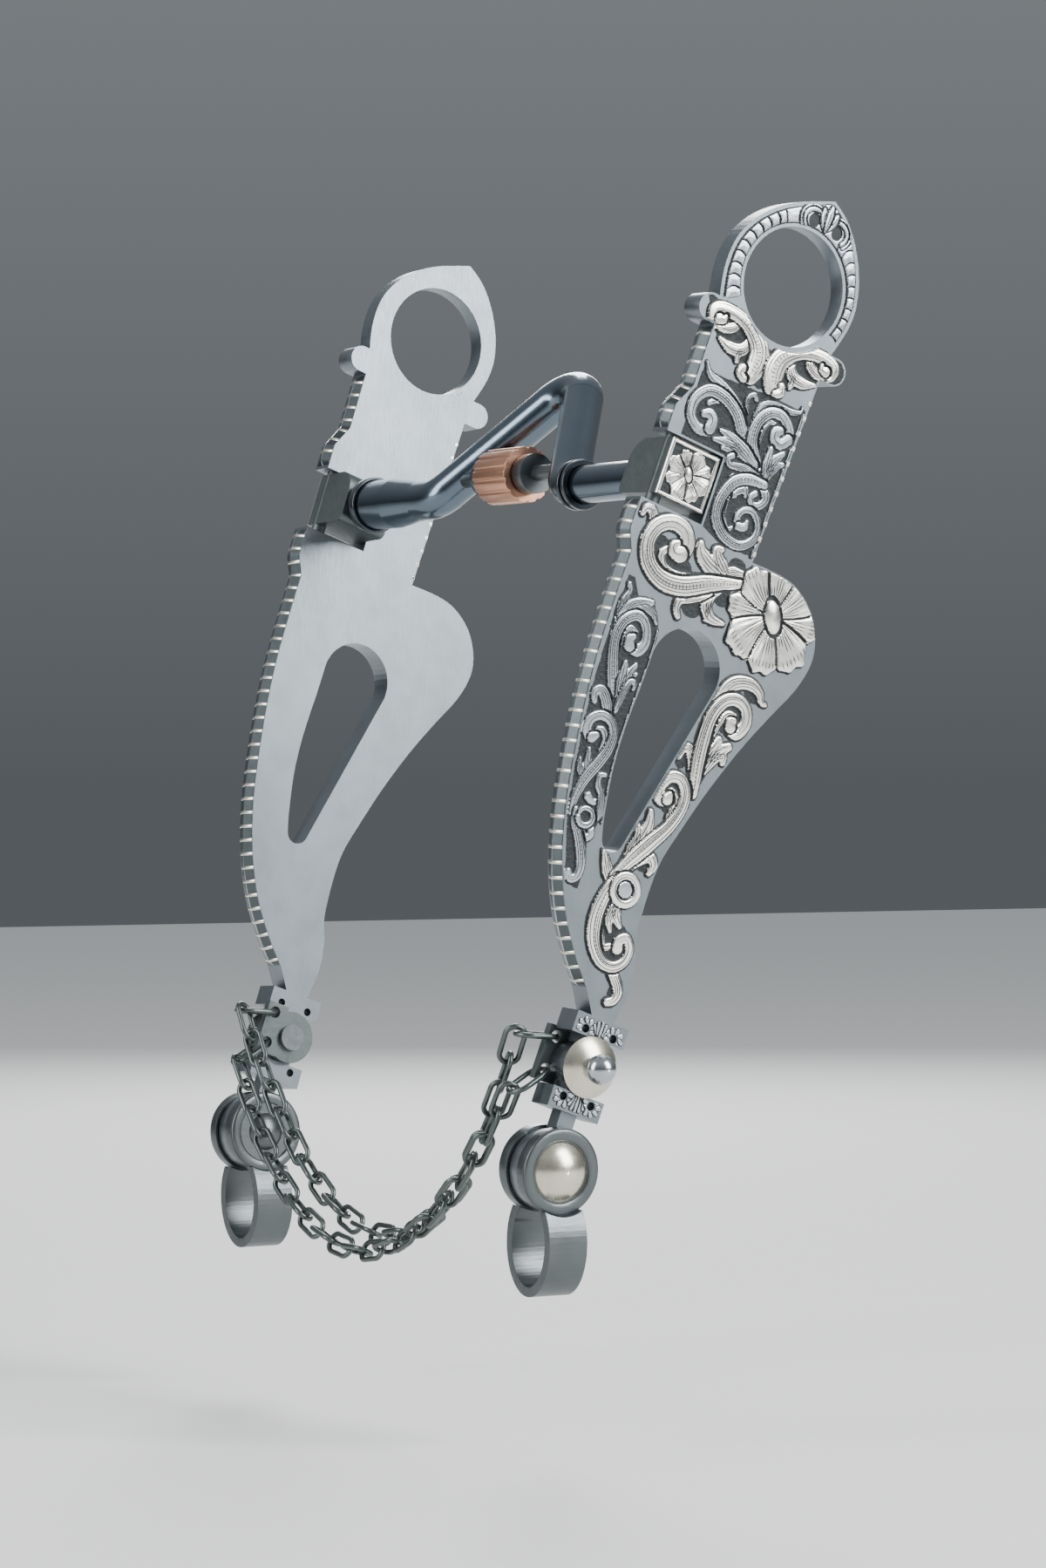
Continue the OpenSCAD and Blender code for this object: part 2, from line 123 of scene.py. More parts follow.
def surface(name, color, rough, metal=1.0, grain=0.0, grain_size=900.0, mottled=0.0, streak=None,
            coat=0.0, cells=0.0):
    """Add a worn metal to LOOKS: mottled, unevenly rough and finely grained; cells stipples it."""
    material = bpy.data.materials.new(name)
    material.use_nodes = True
    tree = material.node_tree
    link = tree.links.new
    shader = tree.nodes["Principled BSDF"]
    shader.inputs["Metallic"].default_value = metal
    if coat:
        shader.inputs["Coat Weight"].default_value = coat
        shader.inputs["Coat Roughness"].default_value = 0.12

    def node(kind, **values):
        """A new node with these inputs set; an underscore stands for a space in an input's name."""
        new = tree.nodes.new(kind)
        for key, value in values.items():
            new.inputs[key.replace("_", " ")].default_value = value
        return new

    place = node("ShaderNodeTexCoord").outputs["Object"]
    grain_place = place
    if streak:
        stretch = node("ShaderNodeMapping", Scale=streak)
        link(place, stretch.inputs["Vector"])
        grain_place = stretch.outputs["Vector"]
    broad = node("ShaderNodeTexNoise", Scale=160.0, Detail=6.0)
    link(place, broad.inputs["Vector"])
    fine = node("ShaderNodeTexNoise", Scale=grain_size, Detail=5.0)
    link(grain_place, fine.inputs["Vector"])

    # darker in broad patches
    mix = tree.nodes.new("ShaderNodeMix")
    mix.data_type = "RGBA"
    mix.inputs["A"].default_value = (*color, 1)
    mix.inputs["B"].default_value = (*(c * (1 - 0.55 * max(mottled, 0.15)) for c in color), 1)
    share = node("ShaderNodeMapRange", From_Min=0.38, From_Max=0.72, To_Max=max(mottled, 0.2))
    link(broad.outputs["Fac"], share.inputs["Value"])
    link(share.outputs["Result"], mix.inputs["Factor"])
    link(mix.outputs["Result"], shader.inputs["Base Color"])

    # rougher and smoother with the grain
    uneven = node("ShaderNodeMapRange", To_Min=rough * 0.8, To_Max=rough * 1.25)
    link(fine.outputs["Fac"], uneven.inputs["Value"])
    link(uneven.outputs["Result"], shader.inputs["Roughness"])

    bump = node("ShaderNodeBump", Strength=max(grain, 0.02), Distance=0.0001)
    link(fine.outputs["Fac"], bump.inputs["Height"])
    if cells:
        stipple = node("ShaderNodeTexVoronoi", Scale=1500.0)
        link(place, stipple.inputs["Vector"])
        grain_bump, bump = bump, node("ShaderNodeBump", Strength=cells, Distance=0.0002)
        link(stipple.outputs["Distance"], bump.inputs["Height"])
        link(grain_bump.outputs["Normal"], bump.inputs["Normal"])
    link(bump.outputs["Normal"], shader.inputs["Normal"])
    LOOKS[name] = material


surface("satin_steel", (0.205, 0.235, 0.255), 0.36, grain=0.22, mottled=0.5,
        streak=(1, 1, 0.12), grain_size=2600)
surface("ornament_steel", (0.46, 0.50, 0.53), 0.26, grain=0.12, mottled=0.4)
surface("ground", (0.02, 0.025, 0.028), 0.7, metal=0.3, grain=0.35, cells=1.0)
surface("edge_steel", (0.085, 0.10, 0.105), 0.34, grain=0.2, mottled=0.4)
# dark: for the engraved cuts, and for the outline round each form, which is painted shadow
surface("line", (0.016, 0.02, 0.023), 0.65, metal=0.2)
surface("silver", (0.90, 0.89, 0.84), 0.24, grain=0.1, mottled=0.25)
surface("edge_silver", (0.74, 0.71, 0.62), 0.3, grain=0.15, mottled=0.3)
surface("warm_silver", (0.66, 0.62, 0.51), 0.27, grain=0.08, mottled=0.35)
# lighter; the front edge's crest strip, a painted highlight, is made of it
surface("polished_steel", (0.42, 0.45, 0.48), 0.2, grain=0.03)
surface("loop_steel", (0.12, 0.135, 0.14), 0.36, grain=0.25, mottled=0.45,
        streak=(1, 0.15, 1), grain_size=2400)
surface("dark_steel", (0.12, 0.14, 0.14), 0.5, grain=0.45, mottled=0.5)
surface("black_steel", (0.035, 0.045, 0.055), 0.22, metal=0.7, coat=0.4)
surface("blued_steel", (0.11, 0.145, 0.18), 0.2, grain=0.06, mottled=0.4, coat=0.25)
surface("copper", (0.62, 0.33, 0.22), 0.33, grain=0.2, mottled=0.35)
surface("chain_steel", (0.11, 0.13, 0.125), 0.36, grain=0.3, mottled=0.5)
slot_of = {s["node"]: s["material_slot"] for s in frame["record"]["subparts"]}

# -------- the CAD's own pieces
BEVEL = {"cheek": 0.42, "block": 0.55, "chain_plate": 0.25, "rein_loop": 0.4, "rein_pin": 0.3,
         "collar": 0.3, "roller": 0.3, "front_bars": 0.18, "rear_bars": 0.15, "roller_axle": 0.4}  # mm
for name, ob in nodes.items():
    ob.data.materials.clear()
    ob.data.materials.append(LOOKS[slot_of[name]])
    stem = name.replace("_right", "").replace("_left", "")
    if stem in BEVEL:
        weld = ob.modifiers.new("weld", "WELD")
        weld.merge_threshold = 1e-6
        if stem == "cheek":
            # joins the small triangles of each flat face, which the bevel would otherwise shade unevenly
            flat = ob.modifiers.new("flat", "DECIMATE")
            flat.decimate_type = "DISSOLVE"
            flat.angle_limit = math.radians(0.5)
        bevel = ob.modifiers.new("bevel", "BEVEL")
        bevel.width = BEVEL[stem] / 1000
        bevel.segments = 3
        bevel.limit_method = "ANGLE"
        bevel.angle_limit = math.radians(40)
        bevel.harden_normals = True
        bevel.use_clamp_overlap = True


# -------- carving tools
def curve_through(points, steps=12):
    """A smooth curve through points."""
    points = [np.array(p, float) for p in points]
    last = len(points) - 1
    out = []
    for i in range(last):
        a, b, c, d = points[max(i - 1, 0)], points[i], points[i + 1], points[min(i + 2, last)]
        for t in np.linspace(0, 1, steps, endpoint=False):
            out.append(0.5 * (2 * b + (c - a) * t + (2 * a - 5 * b + 4 * c - d) * t * t
                              + (3 * b - a - 3 * c + d) * t ** 3))
    return np.array(out + [points[-1]])


def run_length(run):
    """The length of a run of points."""
    return np.linalg.norm(np.diff(run, axis=0), axis=1).sum()


def evenly(run, count):
    """The same run with count evenly spaced points, and its length."""
    run = np.asarray(run, float)
    along = np.r_[0, np.cumsum(np.linalg.norm(np.diff(run, axis=0), axis=1))]
    at = np.linspace(0, along[-1], count)
    return np.stack([np.interp(at, along, run[:, i]) for i in range(2)], 1), along[-1]


def oval(centre, half_u, half_w, angles):
    """Points on an oval at these angles."""
    return [(centre[0] + half_u * math.cos(t), centre[1] + half_w * math.sin(t)) for t in angles]


def turned(build, centre, profile, steps=72):
    """A ring turned about the cheek's normal: profile is (radius, n) in mm."""
    angle = np.linspace(0, 2 * pi, steps, endpoint=False)
    g = np.zeros((steps, len(profile), 3))
    for j, (radius, n) in enumerate(profile):
        g[:, j, 1] = centre[0] + radius * np.cos(angle)
        g[:, j, 2] = centre[1] + radius * np.sin(angle)
        g[:, j, 0] = n
    build.grid(g[:, ::-1], loop=True)


def inside(u, w, outline):
    """Which points lie within a closed outline."""
    hit = np.zeros(u.shape, bool)
    for (u0, w0), (u1, w1) in zip(outline, np.roll(outline, -1, axis=0)):
        if w0 == w1:
            continue
        cross = (w0 > w) != (w1 > w)
        hit ^= cross & (u < (u1 - u0) * (w - w0) / (w1 - w0) + u0)
    return hit


def clear_of(u, w, outline, gap):
    """Which points are further than gap from an outline's edge."""
    ok = np.ones(u.shape, bool)
    for a, b in zip(outline, np.roll(outline, -1, axis=0)):
        d = b - a
        near = (u > min(a[0], b[0]) - gap) & (u < max(a[0], b[0]) + gap)
        near &= (w > min(a[1], b[1]) - gap) & (w < max(a[1], b[1]) + gap)
        if not near.any() or not (d @ d):
            continue
        q = np.stack([u[near], w[near]], 1) - a
        t = np.clip(q @ d / (d @ d), 0, 1)
        ok[near] &= np.linalg.norm(q - t[:, None] * d, axis=1) > gap
    return ok


CELL = 0.17  # mesh pitch of the cheek's skin, mm
GROUND, SHADE_LINE, STEEL, EAR, SHANK, FLOWER = range(1, 7)  # what a point of a skin is; 0 is nothing

# heights above the face a skin is carved on, mm
BARE_HEIGHT = -0.06  # outside every form, so that a skin's edge dips
GROUND_HEIGHT = 0.03
SHADE_LINE_HEIGHT = 0.05
FOOT_HEIGHT = 0.08  # where a form starts at its edge
CUT_LIFT = 0.045  # engraved lines, above their form

# a form rounds up over LIP mm from its edge, and swells slowly over SWELL mm
LIP, SWELL = 0.26, 1.4
LIP_SHARE, SWELL_SHARE = 0.86, 0.14

SHADOW_RIM = 0.28  # width of the dark outline round a form, painted shadow at its foot, mm
WINDOW_PAD = 0.6  # room for it in a form's window, mm
OUTSIDE = -9.0  # a depth that is well outside a form
STROKE_PITCH = 0.16  # between the points of a stroke, mm
LEAST_POINTS = 8  # in a stroke; a dot has one, and no cuts
CUT_SPANS = ((0.06, 0.9), (0.02, 0.72), (0.2, 0.96), (0.1, 0.6))  # from and to, of the stroke
CUT_HALF, RUNG_HALF, VEIN_HALF = 0.09, 0.07, 0.085  # half widths of engraved lines, mm
LEAST_RADIUS = 0.45  # thinner strokes carry no cuts
LEAST_RIBBON = 4  # shorter bits of a line, in points, are left out
RUNG_FIRST, RUNG_PITCH = 6, 5  # a ladder's rungs, in points along the stroke
RUNG_END = 0.62  # where they stop, as a share of the stroke
RUNG_REACH = (-0.14, 0.3)  # how far a rung runs across, of the radius

# for lower petals and upper ones: width, of an even share of the circle, and length, of the flower's size
PETAL_WIDTH, PETAL_LENGTH = (1.0, 1.13), (0.965, 1.0)
PETAL_SWAY = 0.22  # how far a petal bends round the flower, radians
FLOWER_SIZE = 11  # the size for which the widths of rims and veins are stated, mm


class Relief:
    """A carved skin on a flat face. Forms lie one over another, each ringed by a dark outline that is
    partly its cut border and partly painted shadow at its foot.
    """

    def __init__(self, low, high, base, free, cell=CELL):
        self.cell = cell
        self.u_line, self.w_line = np.arange(low[0], high[0], cell), np.arange(low[1], high[1], cell)
        self.u, self.w = np.meshgrid(self.u_line, self.w_line, indexing="ij")
        self.base = base
        self.free = free(self.u, self.w)
        self.height = np.full(self.u.shape, BARE_HEIGHT)
        self.kind = np.zeros(self.u.shape, int)
        self.owner = np.full(self.u.shape, -1)
        self.cuts, self.count = [], 0

    def window(self, low, high):
        """The part of the grid between two corners."""
        rows = np.searchsorted(self.u_line, (low[0], high[0]))
        columns = np.searchsorted(self.w_line, (low[1], high[1]))
        return slice(*rows), slice(*columns)

    def lay(self, win, depth, kind, height, rim=SHADOW_RIM):
        """Lay a form: depth is how far inside its edge each point of the window is, in mm."""
        free = self.free[win]
        line, body = free & (depth > -rim) & (depth <= 0), free & (depth > 0)
        if kind == GROUND:
            self.height[win][body] = GROUND_HEIGHT
            self.kind[win][body] = GROUND
            return
        # the ring just outside the form's edge is laid dark: painted shadow at its foot
        self.height[win][line] = SHADE_LINE_HEIGHT
        self.kind[win][line] = SHADE_LINE
        self.owner[win][line] = -1
        t = np.clip(depth[body] / LIP, 0, 1)
        top = height[body] if isinstance(height, np.ndarray) else height
        rounded = LIP_SHARE * np.sqrt(1 - (1 - t) ** 2) + SWELL_SHARE * np.clip(depth[body] / SWELL, 0, 1)
        self.height[win][body] = FOOT_HEIGHT + (top - FOOT_HEIGHT) * rounded
        self.kind[win][body] = kind
        self.owner[win][body] = self.count
        self.count += 1

    def patch(self, outline):
        """A stippled ground."""
        outline = np.asarray(outline, float)
        win = self.window(outline.min(0), outline.max(0))
        hit = inside(self.u[win], self.w[win], outline)
        self.lay(win, np.where(hit, 1.0, OUTSIDE), GROUND, 0)

    def form(self, kind, *parts, h=0.55, rim=SHADOW_RIM, cuts=(-0.55, -0.15, 0.25, 0.6), ladder=False,
             grow=1.15):
        """A form of tapering strokes, each (points, widths), with engraved cuts along them.

        h is its height, rim the width of its dark outline of painted shadow, cuts how far off the middle
        each cut runs as a share of the radius, and grow what the widths are multiplied by. A ladder adds
        short rungs across.
        """
        runs = []
        for points, widths in parts:
            if len(points) == 1:
                runs.append((np.array(points, float), np.array([widths[0] / 2])))
                continue
            curve = curve_through(points)
            count = max(LEAST_POINTS, int(run_length(curve) / STROKE_PITCH))
            spine, _ = evenly(curve, count)
            at, knots = np.linspace(0, 1, count), np.linspace(0, 1, len(widths))
            runs.append((spine, np.interp(at, knots, widths) / 2 * grow))
        spines, radii = np.vstack([s for s, _ in runs]), np.concatenate([r for _, r in runs])
        pad = radii.max() + WINDOW_PAD
        win = self.window(spines.min(0) - pad, spines.max(0) + pad)
        u, w = self.u[win], self.w[win]
        depth = np.full(u.shape, OUTSIDE)
        for (x, y), radius in zip(spines, radii):
            np.maximum(depth, radius - np.hypot(u - x, w - y), out=depth)
        owner = self.count
        self.lay(win, depth, kind, h, rim)
        for spine, radius in runs:
            if len(spine) < LEAST_POINTS or radius.max() < LEAST_RADIUS:
                continue
            across = self.normals(spine)
            for i, off in enumerate(cuts):
                start, end = CUT_SPANS[i % len(CUT_SPANS)]
                k = slice(int(len(spine) * start), int(len(spine) * end))
                self.cuts.append((owner, spine[k] + across[k] * (off * radius[k])[:, None], CUT_HALF))
            if ladder:
                for i in range(RUNG_FIRST, int(len(spine) * RUNG_END), RUNG_PITCH):
                    rung = spine[i] + across[i] * np.linspace(*RUNG_REACH, 5)[:, None] * radius[i]
                    self.cuts.append((owner, rung, RUNG_HALF))

    @staticmethod
    def normals(run):
        """Unit vectors across a run, to its left."""
        along = np.gradient(run, axis=0)
        along /= np.linalg.norm(along, axis=1)[:, None] + 1e-9
        return np.stack([-along[:, 1], along[:, 0]], 1)

    def bloom(self, kind, centre, size, count, height, turn, eye):
        """A flower of broad petals, every other one on top, with veins and an oval heart."""
        low, high = np.array(centre) - size - 1, np.array(centre) + size + 1
        win = self.window(low, high)
        x, y = self.u[win] - centre[0], self.w[win] - centre[1]
        rad, ang = np.hypot(x, y), np.arctan2(y, x)
        fine = size / FLOWER_SIZE
        for i in [*range(0, count, 2), *range(1, count, 2)]:
            mid, half = turn + 2 * pi * i / count, pi / count * PETAL_WIDTH[i % 2]
            reach = size * PETAL_LENGTH[i % 2]
            bend = PETAL_SWAY * math.sin(2 * mid) * (1 - rad / size)
            v = ((ang - mid + bend + pi) % (2 * pi) - pi) / half  # -1 to 1 across the petal
            # petals are a little longer on one side of the flower, round at the tip and rippled
            stretch = 1 + 0.06 * math.cos(mid + 1.4)
            ripple = 0.02 * np.cos(v * 10) + 0.022 * np.cos(v * 5 + i)
            edge = reach * stretch * (1 - 0.2 * np.abs(v) ** 2.4 - ripple)
            depth = np.minimum(edge - rad, (1 - np.abs(v)) * half * rad * 0.94)
            owner = self.count
            # and rise outward, highest along the middle, with fine flutes
            rise = 0.34 * (rad / size) ** 1.3 * (1 - 0.55 * np.minimum(1, np.abs(v)) ** 2)
            flutes = 0.03 * np.cos(v * 15) * np.clip(1.2 - rad / size, 0, 1)
            # each petal gets a dark outline, painted shadow at its edge
            self.lay(win, depth, kind, height * (0.66 + rise + flutes), rim=0.32 * fine)
            for k in range(-3, 4):
                # seven veins, each in two lengths: one from the heart outward and one near the tip
                inner, outer = (0.2, 0.7 - 0.07 * abs(k) + 0.05 * (k % 2)), (0.8 + 0.01 * abs(k), 0.93)
                for start, end in (inner, outer):
                    s = np.linspace(start, end, 14) * reach
                    a = mid + half * k / 4.1 * (0.8 + 0.25 * np.sin(pi * s / reach))
                    a -= PETAL_SWAY * math.sin(2 * mid) * (1 - s / size)
                    vein = np.stack([centre[0] + s * np.cos(a), centre[1] + s * np.sin(a)], 1)
                    self.cuts.append((owner, vein, VEIN_HALF * math.sqrt(fine)))
        long, short, lean = eye
        p = x * math.cos(lean) + y * math.sin(lean)
        q = y * math.cos(lean) - x * math.sin(lean)
        rho = np.hypot(p / long, q / short)
        dome = height * (0.74 + 0.42 * np.sqrt(np.clip(1 - rho ** 2, 0, 1)))
        self.lay(win, (1 - rho) * short, kind, dome, rim=0.4 * fine)

    def skin(self, *kinds):
        """The part of the skin that is of these kinds."""
        k = self.kind
        corners = np.stack([k[:-1, :-1], k[1:, :-1], k[1:, 1:], k[:-1, 1:]])
        face = np.where(corners[0] > 0, corners[0], corners.max(0))
        i, j = np.nonzero(np.isin(face, kinds))
        n = len(self.w_line)
        quad = np.stack([i * n + j, (i + 1) * n + j, (i + 1) * n + j + 1, i * n + j + 1], 1)
        used, index = np.unique(quad, return_inverse=True)
        points = np.stack([self.base + self.height.ravel(), self.u.ravel(), self.w.ravel()], 1)
        build = Build()
        build.points, build.quads, build.count = [points[used]], [index.reshape(-1, 4)], len(used)
        return build

    def engraving(self, build):
        """Add every engraved line as a thin ribbon that lies on its own form."""
        for owner, line, half in self.cuts:
            row = np.rint((line[:, 0] - self.u_line[0]) / self.cell).astype(int)
            column = np.rint((line[:, 1] - self.w_line[0]) / self.cell).astype(int)
            i, j = np.clip(row, 0, len(self.u_line) - 1), np.clip(column, 0, len(self.w_line) - 1)
            keep = self.owner[i, j] == owner
            n = self.base + self.height[i, j] + CUT_LIFT
            across = self.normals(line)
            ends = np.nonzero(np.diff(np.r_[False, keep, False].astype(int)))[0]
            for start, end in zip(ends[::2], ends[1::2]):
                if end - start < LEAST_RIBBON:
                    continue
                # narrow at both ends and full in the middle
                width = half * (0.35 + 0.65 * np.sin(pi * np.linspace(0.06, 0.94, end - start)))
                g = np.zeros((end - start, 3, 3))
                for column, s in enumerate((-1, 0, 1)):
                    g[:, column, 1:] = line[start:end] - across[start:end] * (s * width)[:, None]
                    g[:, column, 0] = n[start:end]
                build.grid(g[:, ::-1])


# -------- the cheek's outline, in mm
FRONT = curve_through([(-6.7, -18.5), (-6.8, -30), (-6.6, -40), (-5.7, -50), (-4.3, -60), (-2.4, -70),
                       (0.7, -80), (5.3, -89.4), (11, -97), (15.2, -101.5), (18.4, -106.2)],
                      4)
REAR = curve_through([(23.9, -106.2), (24.9, -99.5), (24.2, -93), (22.5, -88), (22, -80), (22.4, -73),
                      (24.4, -66), (27.6, -56.3), (31.8, -46), (36, -37.5), (39.8, -30.3), (41.5, -24),
                      (40.6, -19), (37.6, -14.4), (33, -11.3), (28, -10.2), (20.7, -10.3)],
                     4)
# the face, without the corner that the jaw block fills
PLATE = np.vstack([[(-5.3, 36), (22.5, 36), (22.2, 28.5), (20.7, -10.3)], REAR[::-1][1:], FRONT[::-1],
                   [(-8.6, -14.5), (-8.6, -7.8), (6.5, -7.8), (6.5, 6.5), (-7.8, 6.5), (-7.8, 12),
                    (-5.3, 17)]])
# the opening in the shank
TEAR = np.vstack([oval((13.6, -35.8), 8.3, 8.3, np.radians(range(-8, 185, 8))),
                  curve_through([(5.2, -42), (4.8, -52), (5.3, -61), (7, -70.5)], 4),
                  oval((10.2, -72.6), 2.5, 2.5, np.radians(range(200, 341, 20)))])
RING = (9.8, 44.4)  # the middle of the headstall hole
RING_EDGE = curve_through([(-5.3, 34), (-6.8, 41), (-6.5, 47.5), (-4.1, 52.8), (-0.2, 57.2), (4.6, 60.5),
                           (9.5, 62.8), (12.8, 64.2), (16.8, 61.9), (20.4, 58.2), (23.4, 53.3),
                           (25.1, 48.4), (25.5, 44.2), (24.8, 40), (22.8, 34)])
EARS = ((-7.2, 32.9), (24.8, 32.3))  # the middles of their round ends
EAR_RADIUS = 2.5
MIDDLE = 8.85  # the line the ears are mirrored across
EAR_START = 4  # their skin starts this far from that line, beyond the plate's outline
MARGIN = 0.4  # between a skin and an edge
SEAT_RADIUS = 13.2  # the cheek's skin stops here, outside the thinned seat round the hole
HOLE_EDGE = 12.6  # the ring's skin starts here
BAND_RADIUS = 12.9  # and its bricks here
BAND_ENDS = np.radians((-29, 211))
BAR_MIDDLE, HOLE_OFF = 21.3, 3.4  # the crossbars' middle, and how far each side the holes are
BAR_HOLES = (-109.1, -123)  # the height of the holes in each bar
BAR_ACROSS = (15.6, 27.0)  # the carved part of the bars, across
BAR_BANDS = ((-110, -106.7), (-125.3, -122))  # and the height of each bar's
HOLE_RIM = 1.05  # it stops at this radius round a hole
CAP_HALF = 5.15  # half the width of the carved square on the jaw block
FULL_TURN = np.linspace(0, 2 * pi, 24)
# the two stretches of the front edge that carry bars: above and below the jaw block
EDGE_RUNS = (np.array([(-5.3, 29.6), (-5.3, 17.2), (-7.8, 12), (-7.8, 7.2)]),
             np.vstack([[(-8.6, -8.4), (-8.6, -14.5)], FRONT[:-4]]))


def cheek_face(u, w):
    """Where the cheek's skin may lie: on the face and the ears, clear of edges, opening and ring."""
    ok = inside(u, w, PLATE) & clear_of(u, w, PLATE, MARGIN)
    for x, z in EARS:
        inner = (u > min(x, MIDDLE)) & (u < max(x, MIDDLE)) & (np.abs(u - MIDDLE) > EAR_START)
        inner &= np.abs(w - z) < EAR_RADIUS
        ok |= (np.hypot(u - x, w - z) < EAR_RADIUS) | inner
    ok &= ~inside(u, w, TEAR) & clear_of(u, w, TEAR, MARGIN)
    return ok & (np.hypot(u - RING[0], w - RING[1]) > SEAT_RADIUS)


def ring_edge(angle):
    """Radius of the ring's outer edge at an angle."""
    off = RING_EDGE - np.array(RING)
    ang = np.unwrap(np.arctan2(off[:, 1], off[:, 0]))
    ang = ang - 2 * pi * round((ang[len(ang) // 2] - pi / 2) / (2 * pi))
    order = np.argsort(ang)
    return np.interp(angle, ang[order], np.hypot(off[:, 0], off[:, 1])[order])


# -------- ornament of one cheek
def ears(relief):
    """Silver scrolls that meet under the ring, one each way."""
    form = relief.form
    relief.patch([(-9.5, 36), (-5, 29), (-0.5, 25.6), (8.9, 22), (18, 25.6), (22.5, 28.5), (27.4, 30),
                  (27.4, 36), (8.9, 30.5)])
    for s in (1, -1):
        def placed(*points):
            return [(MIDDLE - s * (MIDDLE - u), w) for u, w in points]

        form(EAR, (placed((3.6, 30.6), (2.4, 27.8), (-0.4, 27.1), (-3.4, 27.9)), (1.6, 2.4, 2.2, 0.8)),
             (placed((2.6, 28), (1.8, 26.4), (2.0, 25.2)), (1.6, 1.5, 1.0)), h=0.72)
        form(EAR, (placed((-0.4, 33.4), (-1.0, 31.2), (-3.2, 30.2), (-5.4, 30.9)), (1.8, 1.9, 2.0, 2.4)),
             h=0.74)
        form(EAR,
             (placed((6.0, 23.9), (6.7, 26.6), (6.0, 29.7), (3.3, 32.1), (-0.3, 33.5), (-4.0, 33.7),
                     (-6.4, 32.8), (-6.2, 31.2)),
              (3.6, 4.4, 3.9, 3.1, 2.6, 2.5, 2.6, 2.5)),
             h=0.8, cuts=(-0.6, -0.25, 0.35, 0.65), ladder=True)
        form(EAR, (placed((3.9, 24.6), (3.6, 23.4), (4.8, 22.6)), (1.6, 1.8, 1.6)), h=0.74, cuts=(0,))
        form(EAR, (placed((-4.9, 31.4), (-3.9, 31.5), (-3.6, 32.3)), (2.0, 1.5, 1.0)), h=0.8, cuts=(0.1,))


